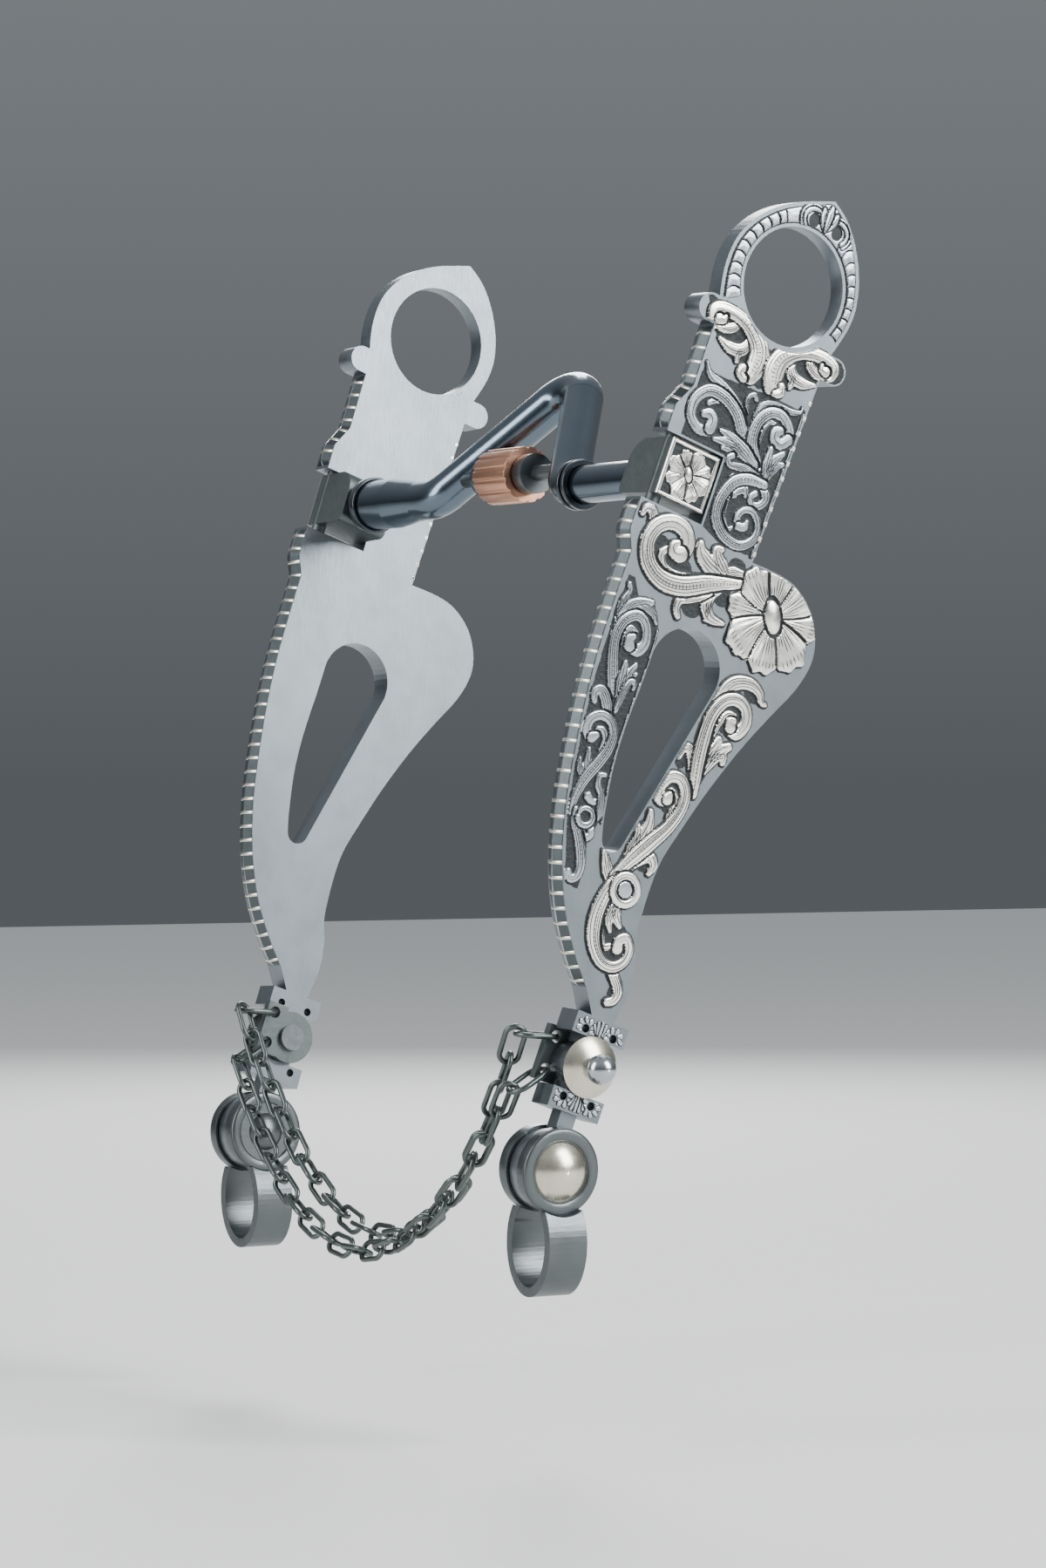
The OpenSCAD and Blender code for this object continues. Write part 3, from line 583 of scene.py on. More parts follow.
def upper_plate(relief):
    """Steel scrolls on a stippled ground, beside and above the block."""
    form = relief.form
    relief.patch([(-4.7, 7), (-4.7, 17), (-4.5, 21), (4, 21.4), (8.9, 21.8), (14, 22), (20.9, 22),
                  (20.6, 10), (19.9, -9.4), (12, -9.8), (7, -8), (7, 7)])
    form(STEEL, ([(20.9, 22), (20.6, 12), (20.2, 0), (19.8, -9.4)], (0.45, 0.45, 0.45, 0.45)), h=0.5,
         cuts=())
    # tendril and curls that rise from the middle
    form(STEEL,
         ([(10.4, 16), (11.3, 19.4), (14.2, 20.7), (18, 20.9), (20, 21.6), (20.2, 22.6)],
          (1.4, 1.7, 1.5, 1.3, 1.2, 0.5)))
    form(STEEL,
         ([(8.7, 13.5), (7.8, 17), (7.5, 19.6), (8.6, 20.7), (9.4, 20)], (1.5, 1.3, 1.2, 1.1, 0.9)))
    form(STEEL,
         ([(12.6, 8.6), (9.2, 12.6), (5.9, 16.4), (1.8, 18.9), (-2.6, 20.4), (-4.2, 22.4)],
          (2.2, 2.6, 2.7, 2.4, 1.9, 0.6)),
         cuts=(-0.45, 0.0, 0.45, 0.7))
    # left scroll
    form(STEEL,
         ([(9.6, 11), (6.6, 14.6), (3.6, 16.6), (0.9, 16.5), (-0.9, 15.1)], (1.6, 2.1, 2.0, 1.7, 1.1)))
    form(STEEL,
         ([(13.4, 8), (9.4, 11.8), (6.0, 15.6), (2.2, 17.5), (-1.6, 17.5), (-4.1, 14.8), (-4.0, 11.4),
           (-1.4, 9.5), (1.0, 10.0)],
          (2.4, 2.6, 2.4, 2.3, 2.3, 2.2, 2.1, 1.9, 2.2)),
         ladder=True)
    form(STEEL, ([(1.1, 10.6), (1.2, 12.2), (0.2, 13.2), (-1.1, 12.8)], (2.4, 2.3, 2.0, 1.6)),
         cuts=(0.1,))
    # right scroll
    form(STEEL,
         ([(14.4, 8), (12.6, 11.4), (12.7, 14.6), (13.8, 16.9), (15.4, 17.2)], (1.5, 1.9, 1.7, 1.3, 0.8)))
    form(STEEL,
         ([(15, 7), (11.6, 11.2), (11.2, 15.6), (13.2, 18.7), (16.3, 19.3), (19, 17.2), (19.4, 14.9)],
          (2.4, 2.6, 2.3, 2.1, 2.0, 2.0, 2.0)),
         ladder=True)
    form(STEEL,
         ([(19.3, 15.4), (18.0, 13.9), (16.3, 14.4), (16.0, 15.8), (17.0, 16.4)],
          (2.1, 2.0, 2.2, 2.2, 1.6)),
         cuts=(0.1,))
    # leaves off the middle
    form(STEEL, ([(13.6, 7.8), (9, 9.8), (5.8, 10.9), (3.6, 11.2)], (1.8, 2.8, 2.2, 0.7)),
         ([(9.4, 9.4), (5.6, 9.4), (2.8, 9.0)], (2.0, 2.1, 0.8)),
         ([(10, 8.8), (7, 8.4), (5.2, 8.1)], (1.8, 1.7, 0.7)))
    form(STEEL, ([(17.3, 5.8), (16.6, 9.2), (16.2, 12.2)], (1.4, 2.5, 1.2)),
         ([(17.4, 6.4), (17.6, 9.8), (19.3, 12.5)], (1.4, 2.4, 1.0)),
         ([(17.6, 7), (18.6, 9.4), (20, 10.4)], (1.2, 1.8, 0.9)))
    form(STEEL,
         ([(15.4, 5.8), (11.6, 6.2), (8.4, 5.7), (7.4, 6.7), (8.2, 7.6)], (1.4, 1.7, 1.5, 1.3, 1.2)))
    # the great C and the two spirals inside it
    form(STEEL, ([(10, 3.4), (11.2, 1.8), (13.2, 2.6), (14, 1.2)], (2.0, 2.6, 1.8, 0.8)),
         ([(9.9, 2.4), (10.2, 0.4), (11.6, 0.4)], (1.6, 1.8, 1.0)))
    form(STEEL, ([(9.8, 0), (9.9, -4), (12.2, -6.4), (13.2, -5.6)], (1.5, 1.9, 1.6, 0.7)))
    form(STEEL,
         ([(17, 4.6), (18.6, 2.8), (18.0, 0.9), (16.2, 0.2), (15.2, 1.5), (16, 2.6)],
          (1.6, 1.8, 1.6, 1.5, 1.3, 1.3)),
         cuts=(-0.4, 0.4))
    form(STEEL,
         ([(17.4, 5.0), (13.4, 4.6), (10.4, 2.8), (8.7, -1), (9.0, -5), (11.8, -7.8), (15.8, -8.5),
           (18.6, -6.6), (19.1, -3.6), (17.3, -1.2), (14.9, -1.3), (13.7, -3.2), (14.6, -4.9)],
          (1.6, 2.1, 2.1, 2.1, 2.2, 2.2, 2.1, 1.9, 1.7, 1.5, 1.4, 1.3, 1.7)),
         ladder=True)
    form(STEEL, ([(14.7, -4.9), (16, -4.6), (16.2, -3.4)], (1.7, 1.6, 1.0)), cuts=())


def front_branch(relief):
    """Steel scrolls down the front of the shank."""
    form = relief.form
    relief.patch([(-5.6, -23), (-5.9, -34), (-5.6, -44), (-4.6, -54), (-3.1, -64), (-1.1, -73),
                  (1.4, -80), (2.4, -84), (6, -84.4), (6.2, -80), (4.8, -75), (6, -70), (4.7, -61),
                  (4.3, -50), (4.6, -42), (5, -36), (4.6, -30), (2, -25.8), (-2, -26), (-4, -23)])
    form(STEEL, ([(4.6, -31), (4.9, -38), (4.6, -44), (4.3, -52), (4.8, -61), (6.3, -70.4)], (0.4,) * 6),
         h=0.48, cuts=())
    form(STEEL, ([(-4.9, -33), (-5.1, -28.6), (-4.3, -26), (-4.9, -24.8)], (1.3, 1.4, 1.3, 1.1)))
    form(STEEL, ([(-4.6, -31.4), (-2.9, -28.2), (-0.4, -26.8), (1.4, -26.3)], (1.4, 1.8, 1.7, 1.1)),
         ([(-1, -27.6), (2, -28), (3.8, -29.8)], (1.6, 1.6, 0.7)))
    form(STEEL, ([(-2.8, -39), (-3.0, -35.4), (-1.7, -32.8), (0.1, -33)], (1.3, 1.6, 1.5, 0.9)))
    form(STEEL,
         ([(0.8, -49.5), (-1.4, -44), (-3.4, -39), (-4.2, -35), (-3.3, -31.6), (-0.7, -29.8), (1.7, -31),
           (2.7, -34), (1.7, -36.2), (-0.1, -36)],
          (1.7, 2.2, 2.4, 2.2, 2.1, 2.0, 2.0, 1.9, 2.1, 2.5)),
         ladder=True)
    form(STEEL, ([(-0.5, -36), (-1.0, -34.8), (-0.2, -34)], (2.3, 1.8, 1.2)), cuts=())
    form(STEEL, ([(0.9, -47), (0.4, -42.8), (-0.1, -39.4)], (1.2, 2.3, 1.1)),
         ([(0.9, -45), (1.5, -41.4), (2.3, -39)], (1.3, 2.2, 1.0)),
         ([(1.4, -43.4), (2.4, -41.4), (3.1, -40.6)], (1.2, 1.6, 0.7)))
    form(STEEL,
         ([(1.1, -49), (1.6, -45), (2.3, -42.6), (3.3, -42.4), (3.5, -43.6)], (1.1, 1.5, 1.5, 1.2, 0.8)))
    form(STEEL,
         ([(0, -50.4), (-1.8, -47.6), (-3.4, -46.4), (-4.6, -47.2), (-4.0, -48.8)],
          (1.6, 2.2, 2.2, 1.7, 1.2)))
    form(STEEL, ([(0.9, -57.4), (1.0, -55), (0, -53.5), (-1.3, -53.6)], (1.2, 1.3, 1.3, 1.0)), cuts=(0,))
    form(STEEL, ([(-0.8, -65), (-0.9, -61.4), (-1.7, -58)], (1.1, 2.0, 0.9)),
         ([(-1, -64), (-2.4, -62), (-3, -60.4)], (1.1, 1.5, 0.7)))
    form(STEEL,
         ([(-1.0, -71), (-1.3, -67.6), (-0.4, -63.6), (1.2, -60), (2.4, -56.6), (2.4, -53.2),
           (0.8, -51.2), (-1.5, -50.9), (-3.5, -52.4), (-3.7, -54.6), (-2.2, -55.9)],
          (1.2, 1.6, 1.9, 2.1, 2.1, 2.0, 1.8, 1.8, 1.8, 1.9, 2.1)),
         ladder=True)
    form(STEEL, ([(-2, -55.7), (-1.1, -54.9)], (2.0, 1.3)), cuts=())
    form(STEEL, ([(4.4, -66.2), (3, -67.4), (1.5, -66.7)], (1.5, 1.2, 1.7)), cuts=())
    form(STEEL,
         ([(3.6, -71.6), (5.1, -69), (4.4, -65.6), (2.9, -63.8), (2.6, -62), (3.7, -61.5)],
          (1.4, 1.6, 1.7, 1.5, 1.3, 0.9)))
    form(STEEL,
         ([(2.6, -72.6), (4.0, -72.0), (4.8, -73.4), (3.8, -74.5), (2.7, -73.6)],
          (1.3, 1.5, 1.5, 1.4, 1.2)),
         cuts=())
    form(STEEL,
         ([(-0.2, -70), (0.4, -72.4), (1.9, -74.2), (3.6, -76.8), (4.8, -79.6), (4.8, -82), (3.5, -83),
           (2.6, -81.8)],
          (1.3, 1.5, 1.8, 2.0, 2.0, 1.8, 1.6, 1.3)),
         ladder=True)
    ring = oval((2.4, -70.6), 1.7, 1.7, np.linspace(3.6, 9.2, 14))
    form(STEEL, (ring, (1.3, 1.1, 0.9)), cuts=(0,))


def silver_c(relief):
    """The silver scroll under the block and the leaves that tie it to the flower."""
    form = relief.form
    for centre, size in (((4.4, -17.8), 3.6), ((16.4, -19.2), 2.6), ((-1.2, -15.6), 3.4),
                         ((17.6, -12.4), 2.2), ((10.4, -24), 2.4)):
        relief.patch(oval(centre, size, 0.8 * size, FULL_TURN))
    style = {"rim": 0.42, "h": 0.68}
    form(SHANK,
         ([(-4.1, -13.6), (-4.4, -11), (-5.5, -9.4), (-6.9, -9.5), (-7.3, -10.8)],
          (1.8, 2.2, 2.0, 1.6, 1.1)),
         **style)
    form(SHANK,
         ([(16.6, -16), (13.6, -19.2), (13.3, -22.2), (15.2, -24.2), (18.4, -24.2)],
          (1.8, 2.8, 2.6, 2.1, 0.9)),
         ([(13.6, -21), (14.0, -23.6), (14.2, -25)], (1.8, 1.6, 0.8)), **style)
    form(SHANK,
         ([(13, -19.6), (9.8, -21.9), (7.2, -23.4), (6.9, -25.2), (7.8, -26.6)],
          (1.6, 2.1, 2.0, 1.6, 1.3)),
         **style)
    form(SHANK, ([(15, -15.4), (16.4, -13.9), (19.6, -13.3)], (1.6, 2.0, 1.2)),
         ([(15.6, -15.2), (12.9, -13.2), (11.6, -11.3), (12.8, -10.6)], (2.0, 3.2, 2.3, 1.1)),
         ([(15, -15.6), (10.8, -14.4), (8.4, -12.9), (7.7, -11.4)], (2.2, 3.4, 3.0, 1.5)), **style)
    form(SHANK,
         ([(14.6, -16.6), (9, -18.5), (4.2, -19.6), (0.9, -18.8), (-0.2, -16.5), (0.9, -14.9)],
          (1.6, 2.0, 2.2, 2.2, 1.9, 1.2)),
         **style)
    form(SHANK,
         ([(19.4, -15.4), (12.6, -17.9), (6.6, -20.8), (1.6, -21.3), (-2.4, -19.3), (-4.2, -15.5),
           (-3.1, -11.8), (-0.1, -9.9), (3.1, -10.3), (4.6, -12.5), (4.3, -14.6)],
          (1.6, 2.4, 3.2, 3.5, 3.5, 3.2, 3.0, 2.9, 2.8, 3.0, 3.3)),
         cuts=(-0.62, -0.3, 0.05, 0.34, 0.64), ladder=True, **style)
    form(SHANK, ([(3.9, -15.1), (2.4, -15.2), (1.7, -14.0), (2.6, -13.2)], (3.0, 2.4, 1.8, 1.2)), h=0.74,
         cuts=(0.1,))


def rear_branch(relief):
    """Silver scrolls down the rear of the shank, to the ring and the last S."""
    form = relief.form
    for centre, half_u, half_w in (
            ((26.6, -41.2), 2.9, 3.2), ((27.4, -47.6), 2.0, 2.0), ((31, -35), 2.6, 1.4),
            ((20.0, -60.2), 2.9, 3.6), ((19.4, -52.2), 1.6, 2.2), ((15.6, -68.8), 1.6, 2.2),
            ((18.8, -75), 1.9, 1.4), ((17.6, -91), 3.6, 3.8), ((14.8, -86.4), 1.7, 4.2),
            ((21.2, -100.6), 1.2, 1.6)):
        relief.patch(oval(centre, half_u, half_w, FULL_TURN))
    style = {"rim": 0.4, "h": 0.66}
    form(SHANK,
         ([(22.8, -38.4), (25.2, -34.4), (28.8, -33), (31.6, -33.8), (32.8, -35.4), (33.9, -35.6)],
          (2.0, 2.8, 2.6, 2.3, 1.8, 0.9)),
         **style)
    form(SHANK, ([(25.2, -50.6), (28, -48.4), (28.6, -49.9)], (1.4, 1.9, 1.1)),
         ([(24.8, -53), (26.5, -48.6), (28.8, -46.4)], (1.6, 2.9, 1.6)),
         ([(24.3, -55), (24.9, -49.8), (26.1, -46)], (1.6, 2.9, 1.7)), **style)
    form(SHANK,
         ([(23.6, -55.6), (21.8, -51.8), (20.2, -50), (18.8, -50.4), (18.5, -52.2)],
          (1.6, 2.4, 2.2, 1.8, 1.1)),
         **style)
    form(SHANK, ([(23.6, -47), (24.6, -42.6), (26.3, -40.4), (27.9, -40.2)], (1.4, 1.9, 1.7, 1.1)),
         **style)
    form(SHANK,
         ([(24.3, -58), (23.0, -51.4), (22.5, -46), (22.8, -41.6), (24.6, -38.2), (27.5, -37),
           (30, -38.2), (30.8, -40.8), (29.6, -43.1), (28, -42.9)],
          (1.8, 2.4, 2.7, 2.7, 2.5, 2.4, 2.4, 2.3, 2.4, 2.8)),
         cuts=(-0.55, 0.0, 0.3, 0.6), ladder=True, **style)
    form(SHANK, ([(27.7, -42.6), (27.1, -41.6), (28, -41.1)], (2.3, 1.7, 1.2)), h=0.7, cuts=())
    form(SHANK, ([(12.8, -80.8), (11, -78.6), (9.7, -76.6), (8.9, -75.4)], (1.6, 2.3, 1.8, 0.9)), **style)
    form(SHANK,
         ([(13.4, -78), (16.6, -74.7), (19.3, -73), (20.8, -74.2), (20.3, -76)],
          (1.8, 2.6, 2.4, 2.0, 1.2)),
         **style)
    form(SHANK, ([(14, -75.6), (15.1, -70.8), (14.5, -68.2), (13.8, -69)], (1.1, 1.9, 1.5, 0.9)),
         ([(13.8, -77), (15.8, -71.4), (16.7, -67.4), (16.3, -64.6)], (1.4, 2.7, 2.6, 1.3)), **style)
    form(SHANK, ([(20.6, -64.4), (21.2, -61.4), (20.5, -59.6), (19.2, -59)], (1.3, 1.7, 1.6, 1.1)),
         **style)
    form(SHANK,
         ([(12.6, -79.6), (15, -75.6), (18.6, -70.2), (21.4, -65.8), (22.8, -61.6), (22.5, -58.2),
           (20.4, -56.2), (17.9, -56.8), (16.5, -59.3), (17.3, -61.3), (18.8, -61.2)],
          (1.6, 2.2, 2.7, 2.8, 2.5, 2.3, 2.2, 2.2, 2.2, 2.2, 2.6)),
         cuts=(-0.55, 0.0, 0.3, 0.6), ladder=True, **style)
    form(SHANK, ([(19, -61), (19.2, -59.9)], (2.2, 1.3)), h=0.7, cuts=())
    # the last S
    form(SHANK,
         ([(18.6, -96.4), (20.9, -98.2), (22.2, -100.2), (21.8, -102), (20.5, -102.8)],
          (1.6, 2.1, 2.0, 1.8, 1.5)),
         **style)
    form(SHANK, ([(15, -82.8), (15.9, -86), (17.8, -88)], (1.4, 2.4, 1.0)),
         ([(15.2, -84), (15, -87.6), (16, -89.6)], (1.4, 2.0, 0.8)), **style)
    form(SHANK, ([(13.4, -89), (15.2, -92.9), (17.2, -92.2)], (1.2, 1.9, 1.1)), **style)
    form(SHANK,
         ([(13.8, -79.4), (12.3, -83), (11.8, -88), (13.1, -92.6), (15.9, -95.6), (19, -96),
           (21.3, -94.2), (21.6, -91.4), (20.2, -89.7), (18.7, -90.7), (18.9, -92.2)],
          (2.0, 2.4, 2.7, 2.8, 2.6, 2.4, 2.1, 1.9, 1.8, 1.8, 2.2)),
         cuts=(-0.55, 0.0, 0.3, 0.6), ladder=True, **style)
    loop = oval((16.4, -80.9), 2.85, 2.85, np.linspace(0, 2 * pi, 30))
    form(STEEL, ([(16.4, -80.9)], (4.2,)), h=0.5, cuts=())
    form(SHANK, (loop, (1.5, 1.5)), cuts=(0.4,), h=0.7, rim=0.3)


def ring_angle(x, y):
    """The angle round the ring, running on past the left side in place of jumping there."""
    ang = np.arctan2(y, x)
    return np.where(ang < -1.6, ang + 2 * pi, ang)


def ring_band(relief):
    """Raised bricks round the ring, and a small palmette at its top."""
    x, y = relief.u - RING[0], relief.w - RING[1]
    rad, ang = np.hypot(x, y), ring_angle(x, y)
    edge = ring_edge(ang) - 1.0
    whole = (slice(None), slice(None))
    brick, half_gap = 9.5, 0.08  # a brick's share of the circle in degrees, and half a gap in mm
    between = np.minimum(rad - BAND_RADIUS, edge - rad)
    # the bricks run down each side, from beside the palmette
    for deg in [*(55 - brick * np.arange(9)), *(123 + brick * np.arange(10))]:
        bow = math.radians(1.8) * np.cos((rad - (BAND_RADIUS + edge) / 2) * 1.2)
        off = (ang - math.radians(deg)) * (1 if deg > 90 else -1) + bow
        beside = (0.5 * math.radians(brick) - np.abs(off)) * rad - half_gap
        relief.lay(whole, np.minimum(between, beside), STEEL, 0.48, rim=0.22)
    beside = (math.radians(29.5) - np.abs(ang - math.radians(89))) * rad
    relief.lay(whole, np.minimum(between, beside), STEEL, 0.3, rim=0.22)
    for eye, s in (((9.4, 58.7), -1), ((15.4, 58.3), 1)):
        for reach in (3.2, 2.45):
            arc = [(eye[0] + s * reach * math.sin(t), eye[1] + 0.92 * reach * math.cos(t))
                   for t in np.linspace(-0.7, 2.4, 12)]
            relief.form(STEEL, (arc, (0.5, 0.85, 0.9, 0.7)), h=0.46, cuts=(), rim=0.2)
        # the hollow inside each curl: a flat patch painted dark as its shade
        hollow = np.hypot((relief.u - eye[0]) / 1.25, (relief.w - eye[1]) / 1.45)
        pit = relief.free & (hollow < 1)
        relief.height[pit], relief.kind[pit], relief.owner[pit] = 0.04, SHADE_LINE, -1
    for tip in ((10.9, 61.6), (14.3, 61.5), (12.6, 62.6)):
        knee = ((12.4 + tip[0]) / 2 + (tip[0] - 12.5) * 0.2, 59.6)
        relief.form(STEEL, ([(12.4, 57.6), knee, tip], (0.6, 1.3, 1.5, 0.9)), h=0.52, cuts=(0,), rim=0.22)


def crossbar(relief, w, up):
    """A palmette between two pierced holes, and petals round each hole."""
    style = {"rim": 0.14, "cuts": (), "grow": 1.0}
    for s in (-1, 1):
        c = (BAR_MIDDLE + s * HOLE_OFF, w - up * 0.2)  # a hole's middle
        for t in np.radians((200, 155, 115, 75, 35, -5, -45)):
            tip = (c[0] + s * 1.95 * math.cos(t), c[1] + up * 1.9 * math.sin(t))
            root = (c[0] + s * 0.9 * math.cos(t), c[1] + up * 0.9 * math.sin(t))
            relief.form(STEEL, ([root, tip], (0.9, 1.15, 0.95)), h=0.24, **style)
    for out, high in ((-1.7, 0.9), (1.7, 0.9), (-0.95, 1.6), (0.95, 1.6), (0, 2.0)):
        leaf = [(BAR_MIDDLE + out * 0.1, w - up * 1.4), (BAR_MIDDLE + out * 0.6, w + up * 0.1),
                (BAR_MIDDLE + out, w + up * high)]
        relief.form(STEEL, (leaf, (0.35, 0.85, 0.75)), h=0.3, **style)


def ring_face(u, w):
    """Where the ring's band may lie: between the hole and the outer edge, above the ears."""
    x, y = u - RING[0], w - RING[1]
    ang = ring_angle(x, y)
    rad = np.hypot(x, y)
    ok = (rad > HOLE_EDGE) & (rad < ring_edge(ang) - 0.5)
    return ok & (ang > BAND_ENDS[0]) & (ang < BAND_ENDS[1])


def bar_face(u, w):
    """Where the skin of the two crossbars may lie, clear of their pierced holes."""
    ok = (u > BAR_ACROSS[0]) & (u < BAR_ACROSS[1])
    ok &= np.any([(w > low) & (w < high) for low, high in BAR_BANDS], axis=0)
    for s in (-1, 1):
        for hole in BAR_HOLES:
            ok &= np.hypot(u - BAR_MIDDLE - s * HOLE_OFF, w - hole) > HOLE_RIM
    return ok


def block_face(u, w):
    """Where the flower on the jaw block may lie."""
    return (np.abs(u) < CAP_HALF) & (np.abs(w) < CAP_HALF)


cheek_relief = Relief((-9.8, -105), (42, 36.5), FACE, cheek_face)
ears(cheek_relief)
upper_plate(cheek_relief)
front_branch(cheek_relief)
silver_c(cheek_relief)
rear_branch(cheek_relief)
cheek_relief.bloom(FLOWER, (29.0, -18.7), size=11.5, count=8, height=0.86, turn=0.1,
                   eye=(3.6, 1.95, math.radians(-62)))
band_relief = Relief((-8, 32), (27, 65), RING_FACE, ring_face, cell=0.13)
ring_band(band_relief)
bar_relief = Relief((15, -126), (28, -106), BAR_FACE, bar_face, cell=0.1)
crossbar(bar_relief, w=-108.9, up=1)
crossbar(bar_relief, w=-123.2, up=-1)
block_relief = Relief((-6, -6), (6, 6), CAP_FACE, block_face, cell=0.09)
block_relief.patch([(-5.1, -5.1), (5.1, -5.1), (5.1, 5.1), (-5.1, 5.1)])
block_relief.bloom(FLOWER, (0.1, 0.2), size=5.5, count=8, height=0.5, turn=0.5,
                   eye=(1.6, 0.85, math.radians(-66)))

# -------- the front edge, frame and rims
# profiles across the front edge: (n, how proud of the edge)
RIDGE = ((5.32, -0.1), (5.1, 0.06), (2.95, 0.8), (2.55, 0.8), (0.4, 0.06), (0.2, -0.1))
# CREST_HIGHLIGHT is a lighter strip along the ridge's top: a painted highlight
CREST_HIGHLIGHT = ((2.98, 0.6), (2.9, 0.87), (2.6, 0.87), (2.52, 0.6))
BAR = ((5.42, -0.1), (5.16, 0.16), (2.95, 0.9), (2.55, 0.9), (0.34, 0.16), (0.1, -0.1))
EDGE_STEP = 0.4  # between points along the edge, mm
EDGE_TAPER = 1.2  # the ridge rises and falls over this length at each end
FIRST_BAR, BAR_PITCH, BAR_HALF = 1.6, 3.0, 0.45  # along the edge, BAR_HALF being half a bar's width
BAR_ENDS = np.array([-0.25, 0, 0, 0, -0.25])  # the first and last row of a bar dip into the ridge

CAP_FRAME = ((5.85, 5.2), (5.8, 5.78), (5.2, 5.8), (5.15, 5.2))  # (distance from the middle, n)

REIN_PIN = (22, -137.2)
# profiles of the rein loop's turned rims, on its outer and inner disc: (radius, n)
OUTER_RIM = [(8.5, 7.1), (8.45, 7.45), (8.1, 7.62), (6.5, 7.62), (6.2, 7.45), (6.15, 7.1)]
INNER_RIM = [(8.5, -1.8), (8.45, -2.2), (8.1, -2.35), (6.6, -2.35), (6.3, -2.15), (6.25, -1.8)]


def sweep(build, profile, points, out, rise):
    """Sweep a profile along an edge, one strip for each of its facets so that corners stay sharp."""
    for facet in zip(profile, profile[1:]):
        g = np.zeros((len(points), 2, 3))
        for j, (n, proud) in enumerate(facet):
            g[:, j, 0] = n
            g[:, j, 1:] = points + out * (proud * rise)[:, None]
        build.grid(g)


for side, word in ((1, "right"), (-1, "left")):
    body = f"{word}_cheek"

    def carve(relief, kinds, name, look, slot, stands=None, on=body):
        """One piece of a relief; stands is the CAD piece that it is seen in place of."""
        ob = relief.skin(*kinds).make(f"{name}_{word}_carved", on, LOOKS[look], side, slot)
        if stands:
            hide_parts(f"{stands}_{word}")

    carve(cheek_relief, (EAR,), "ear_scrolls", "silver", "silver", "ear_scrolls")
    carve(cheek_relief, (SHANK,), "shank_scrolls", "silver", "silver", "shank_scrolls")
    carve(cheek_relief, (FLOWER,), "flower", "silver", "silver", "flower")
    carve(cheek_relief, (STEEL,), "steel_scrolls", "ornament_steel", "satin_steel")
    carve(cheek_relief, (GROUND,), "ground", "ground", "satin_steel")
    carve(band_relief, (STEEL,), "ring_band", "ornament_steel", "silver", "ring_band")
    carve(bar_relief, (STEEL,), "crossbars", "ornament_steel", "satin_steel")
    carve(block_relief, (FLOWER,), "cap", "silver", "silver", "cap", on="mouthpiece")
    carve(block_relief, (GROUND,), "cap_ground", "ground", "dark_steel", on="mouthpiece")
    # each relief's dark outlines, painted shadow round its forms, with its engraved cuts laid on them
    for relief, name, slot, on in ((cheek_relief, "cheek", "satin_steel", body),
                                   (band_relief, "ring_band", "silver", body),
                                   (bar_relief, "crossbars", "satin_steel", body),
                                   (block_relief, "cap", "silver", "mouthpiece")):
        lines = relief.skin(SHADE_LINE)
        relief.engraving(lines)
        lines.make(f"{name}_{word}_cuts", on, LOOKS["line"], side, slot)

    # the front edge: a steel ridge with warm bars across it, and along its crest a lighter strip that is
    # a painted highlight
    ridge, bars, crest_highlight = Build(), Build(), Build()
    for run in EDGE_RUNS:
        edge, length = evenly(run, int(run_length(run) / EDGE_STEP))
        out = -Relief.normals(edge)
        at = np.linspace(0, length, len(edge))
        rise = np.clip(at / EDGE_TAPER, 0, 1) * np.clip((length - at) / EDGE_TAPER, 0, 1)
        sweep(ridge, RIDGE, edge, out, rise)
        sweep(crest_highlight, CREST_HIGHLIGHT, edge, out, rise)
        for mid in np.arange(FIRST_BAR, length - EDGE_TAPER, BAR_PITCH):
            q = np.clip(np.linspace(mid - BAR_HALF, mid + BAR_HALF, len(BAR_ENDS)), 0, length)
            spot = np.stack([np.interp(q, at, edge[:, 0]), np.interp(q, at, edge[:, 1])], 1)
            face = np.stack([np.interp(q, at, out[:, 0]), np.interp(q, at, out[:, 1])], 1)
            lift = np.interp(q, at, rise)
            g = np.zeros((len(BAR_ENDS), len(BAR), 3))
            for j, (n, proud) in enumerate(BAR):
                g[:, j, 0] = n
                g[:, j, 1:] = spot + face * (proud * lift + BAR_ENDS)[:, None]
            bars.grid(g)
    ridge.make(f"front_edge_{word}", body, LOOKS["edge_steel"], side, "satin_steel", flip=True)
    crest_highlight.make(f"front_crest_highlight_{word}", body, LOOKS["polished_steel"], side, "satin_steel", flip=True)
    edge_bars = bars.make(f"front_bars_{word}_inlay", body, LOOKS["edge_silver"], side,
                          slot_of[f"front_bars_{word}"], flip=True)
    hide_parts(f"front_bars_{word}")

    # the frame round the block's flower: four mitred bars
    frame_bars = Build()
    for s in range(4):
        cos, sin = math.cos(s * pi / 2), math.sin(s * pi / 2)
        g = np.zeros((2, len(CAP_FRAME), 3))
        for j, (reach, n) in enumerate(CAP_FRAME):
            for i, end in enumerate((-reach, reach)):
                g[i, j] = (n, reach * cos - end * sin, reach * sin + end * cos)
        frame_bars.grid(g)
    frame_bars.make(f"cap_{word}_frame", "mouthpiece", LOOKS["silver"], side, "silver", flip=True)

    rim = Build()
    turned(rim, REIN_PIN, OUTER_RIM)
    rim.make(f"disc_rim_{word}", f"{word}_rein_loop", LOOKS["loop_steel"], side, "loop_steel")
    rim = Build()
    turned(rim, REIN_PIN, INNER_RIM)
    rim.make(f"disc_inner_rim_{word}", f"{word}_rein_loop", LOOKS["loop_steel"], side, "loop_steel",
             flip=True)

# -------- light, floor, camera, in metres
FLOOR_DROP = 0.03  # the floor, under the lowest point
LIGHT_AIM = Vector((0, 0, -0.04))

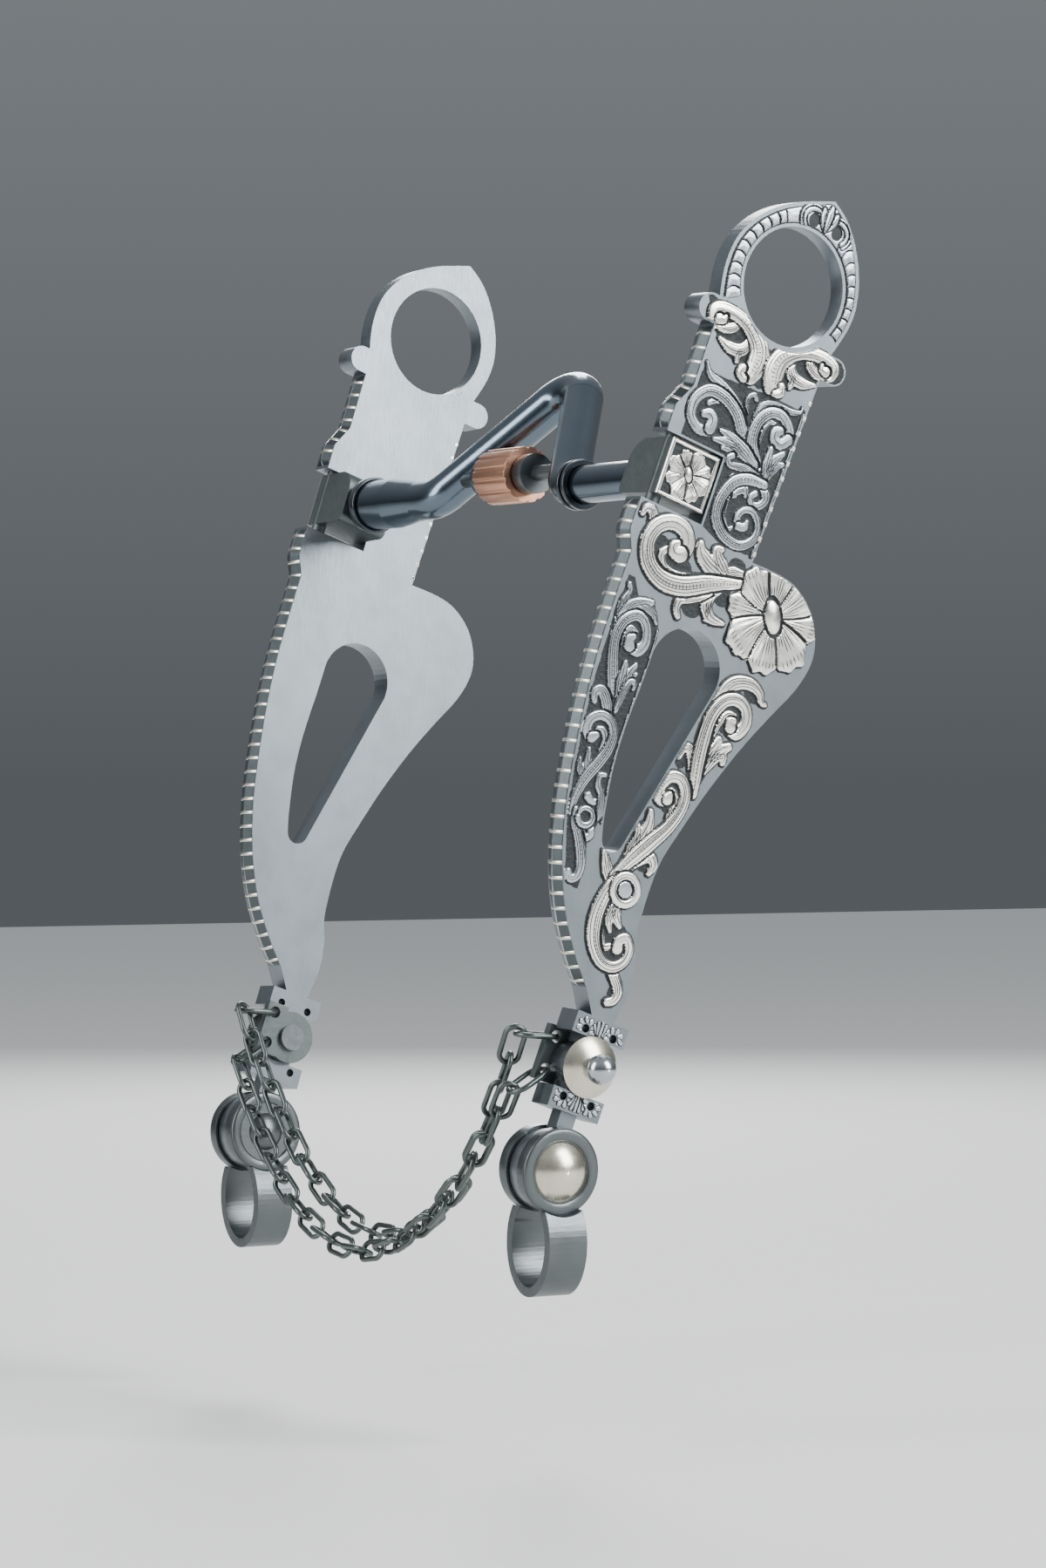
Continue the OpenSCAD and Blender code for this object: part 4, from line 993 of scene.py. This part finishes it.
low, high = first_box
bpy.ops.mesh.primitive_plane_add(size=6, location=(0, 0, low.z - FLOOR_DROP))
floor = bpy.context.active_object
floor.name = "floor"
floor_look = bpy.data.materials.new("floor")
floor_look.use_nodes = True
floor_shader = floor_look.node_tree.nodes["Principled BSDF"]
floor_shader.inputs["Base Color"].default_value = (0.72, 0.72, 0.71, 1)
floor_shader.inputs["Roughness"].default_value = 0.8
floor.data.materials.append(floor_look)


def area(name, place, size, power):
    """A rectangular light of some watts, aimed at the bit."""
    light = bpy.data.lights.new(name, "AREA")
    light.shape = "RECTANGLE"
    light.size, light.size_y = size
    light.energy = power
    lamp = bpy.data.objects.new(name, light)
    lamp.location = place
    lamp.rotation_mode = "QUATERNION"
    lamp.rotation_quaternion = (LIGHT_AIM - Vector(place)).to_track_quat("-Z", "Y")
    bpy.context.scene.collection.objects.link(lamp)


area("key", (0.9, 0.5, 0.55), (0.6, 0.9), 26)
area("front", (-0.1, -1.0, 0.35), (0.35, 0.9), 10)
area("rim", (-0.8, 0.5, 0.5), (0.3, 0.8), 9)

# the surroundings are dark below and pale above
studio = bpy.data.worlds.new("studio")
studio.use_nodes = True
tree = studio.node_tree
place = tree.nodes.new("ShaderNodeTexCoord")
parts = tree.nodes.new("ShaderNodeSeparateXYZ")
ramp = tree.nodes.new("ShaderNodeValToRGB")
dark_end, pale_end = ramp.color_ramp.elements
dark_end.position, pale_end.position = 0.0, 0.75
dark_end.color = (0.16, 0.175, 0.19, 1)
pale_end.color = (0.85, 0.9, 0.95, 1)
tree.links.new(place.outputs["Generated"], parts.inputs["Vector"])
tree.links.new(parts.outputs["Z"], ramp.inputs["Fac"])
tree.links.new(ramp.outputs["Color"], tree.nodes["Background"].inputs["Color"])
tree.nodes["Background"].inputs["Strength"].default_value = 0.6
bpy.context.scene.world = studio

lens = bpy.data.cameras.new("camera")
lens.lens, lens.sensor_width = 106.8, 36
lens.clip_start, lens.clip_end = 0.01, 20
camera = bpy.data.objects.new("camera", lens)
camera.location = (0.825, -0.518, -0.061)
camera.rotation_mode = "QUATERNION"
camera.rotation_quaternion = Vector((-0.8445, 0.5356, 0)).to_track_quat("-Z", "Y")
bpy.context.scene.collection.objects.link(camera)
bpy.context.scene.camera = camera
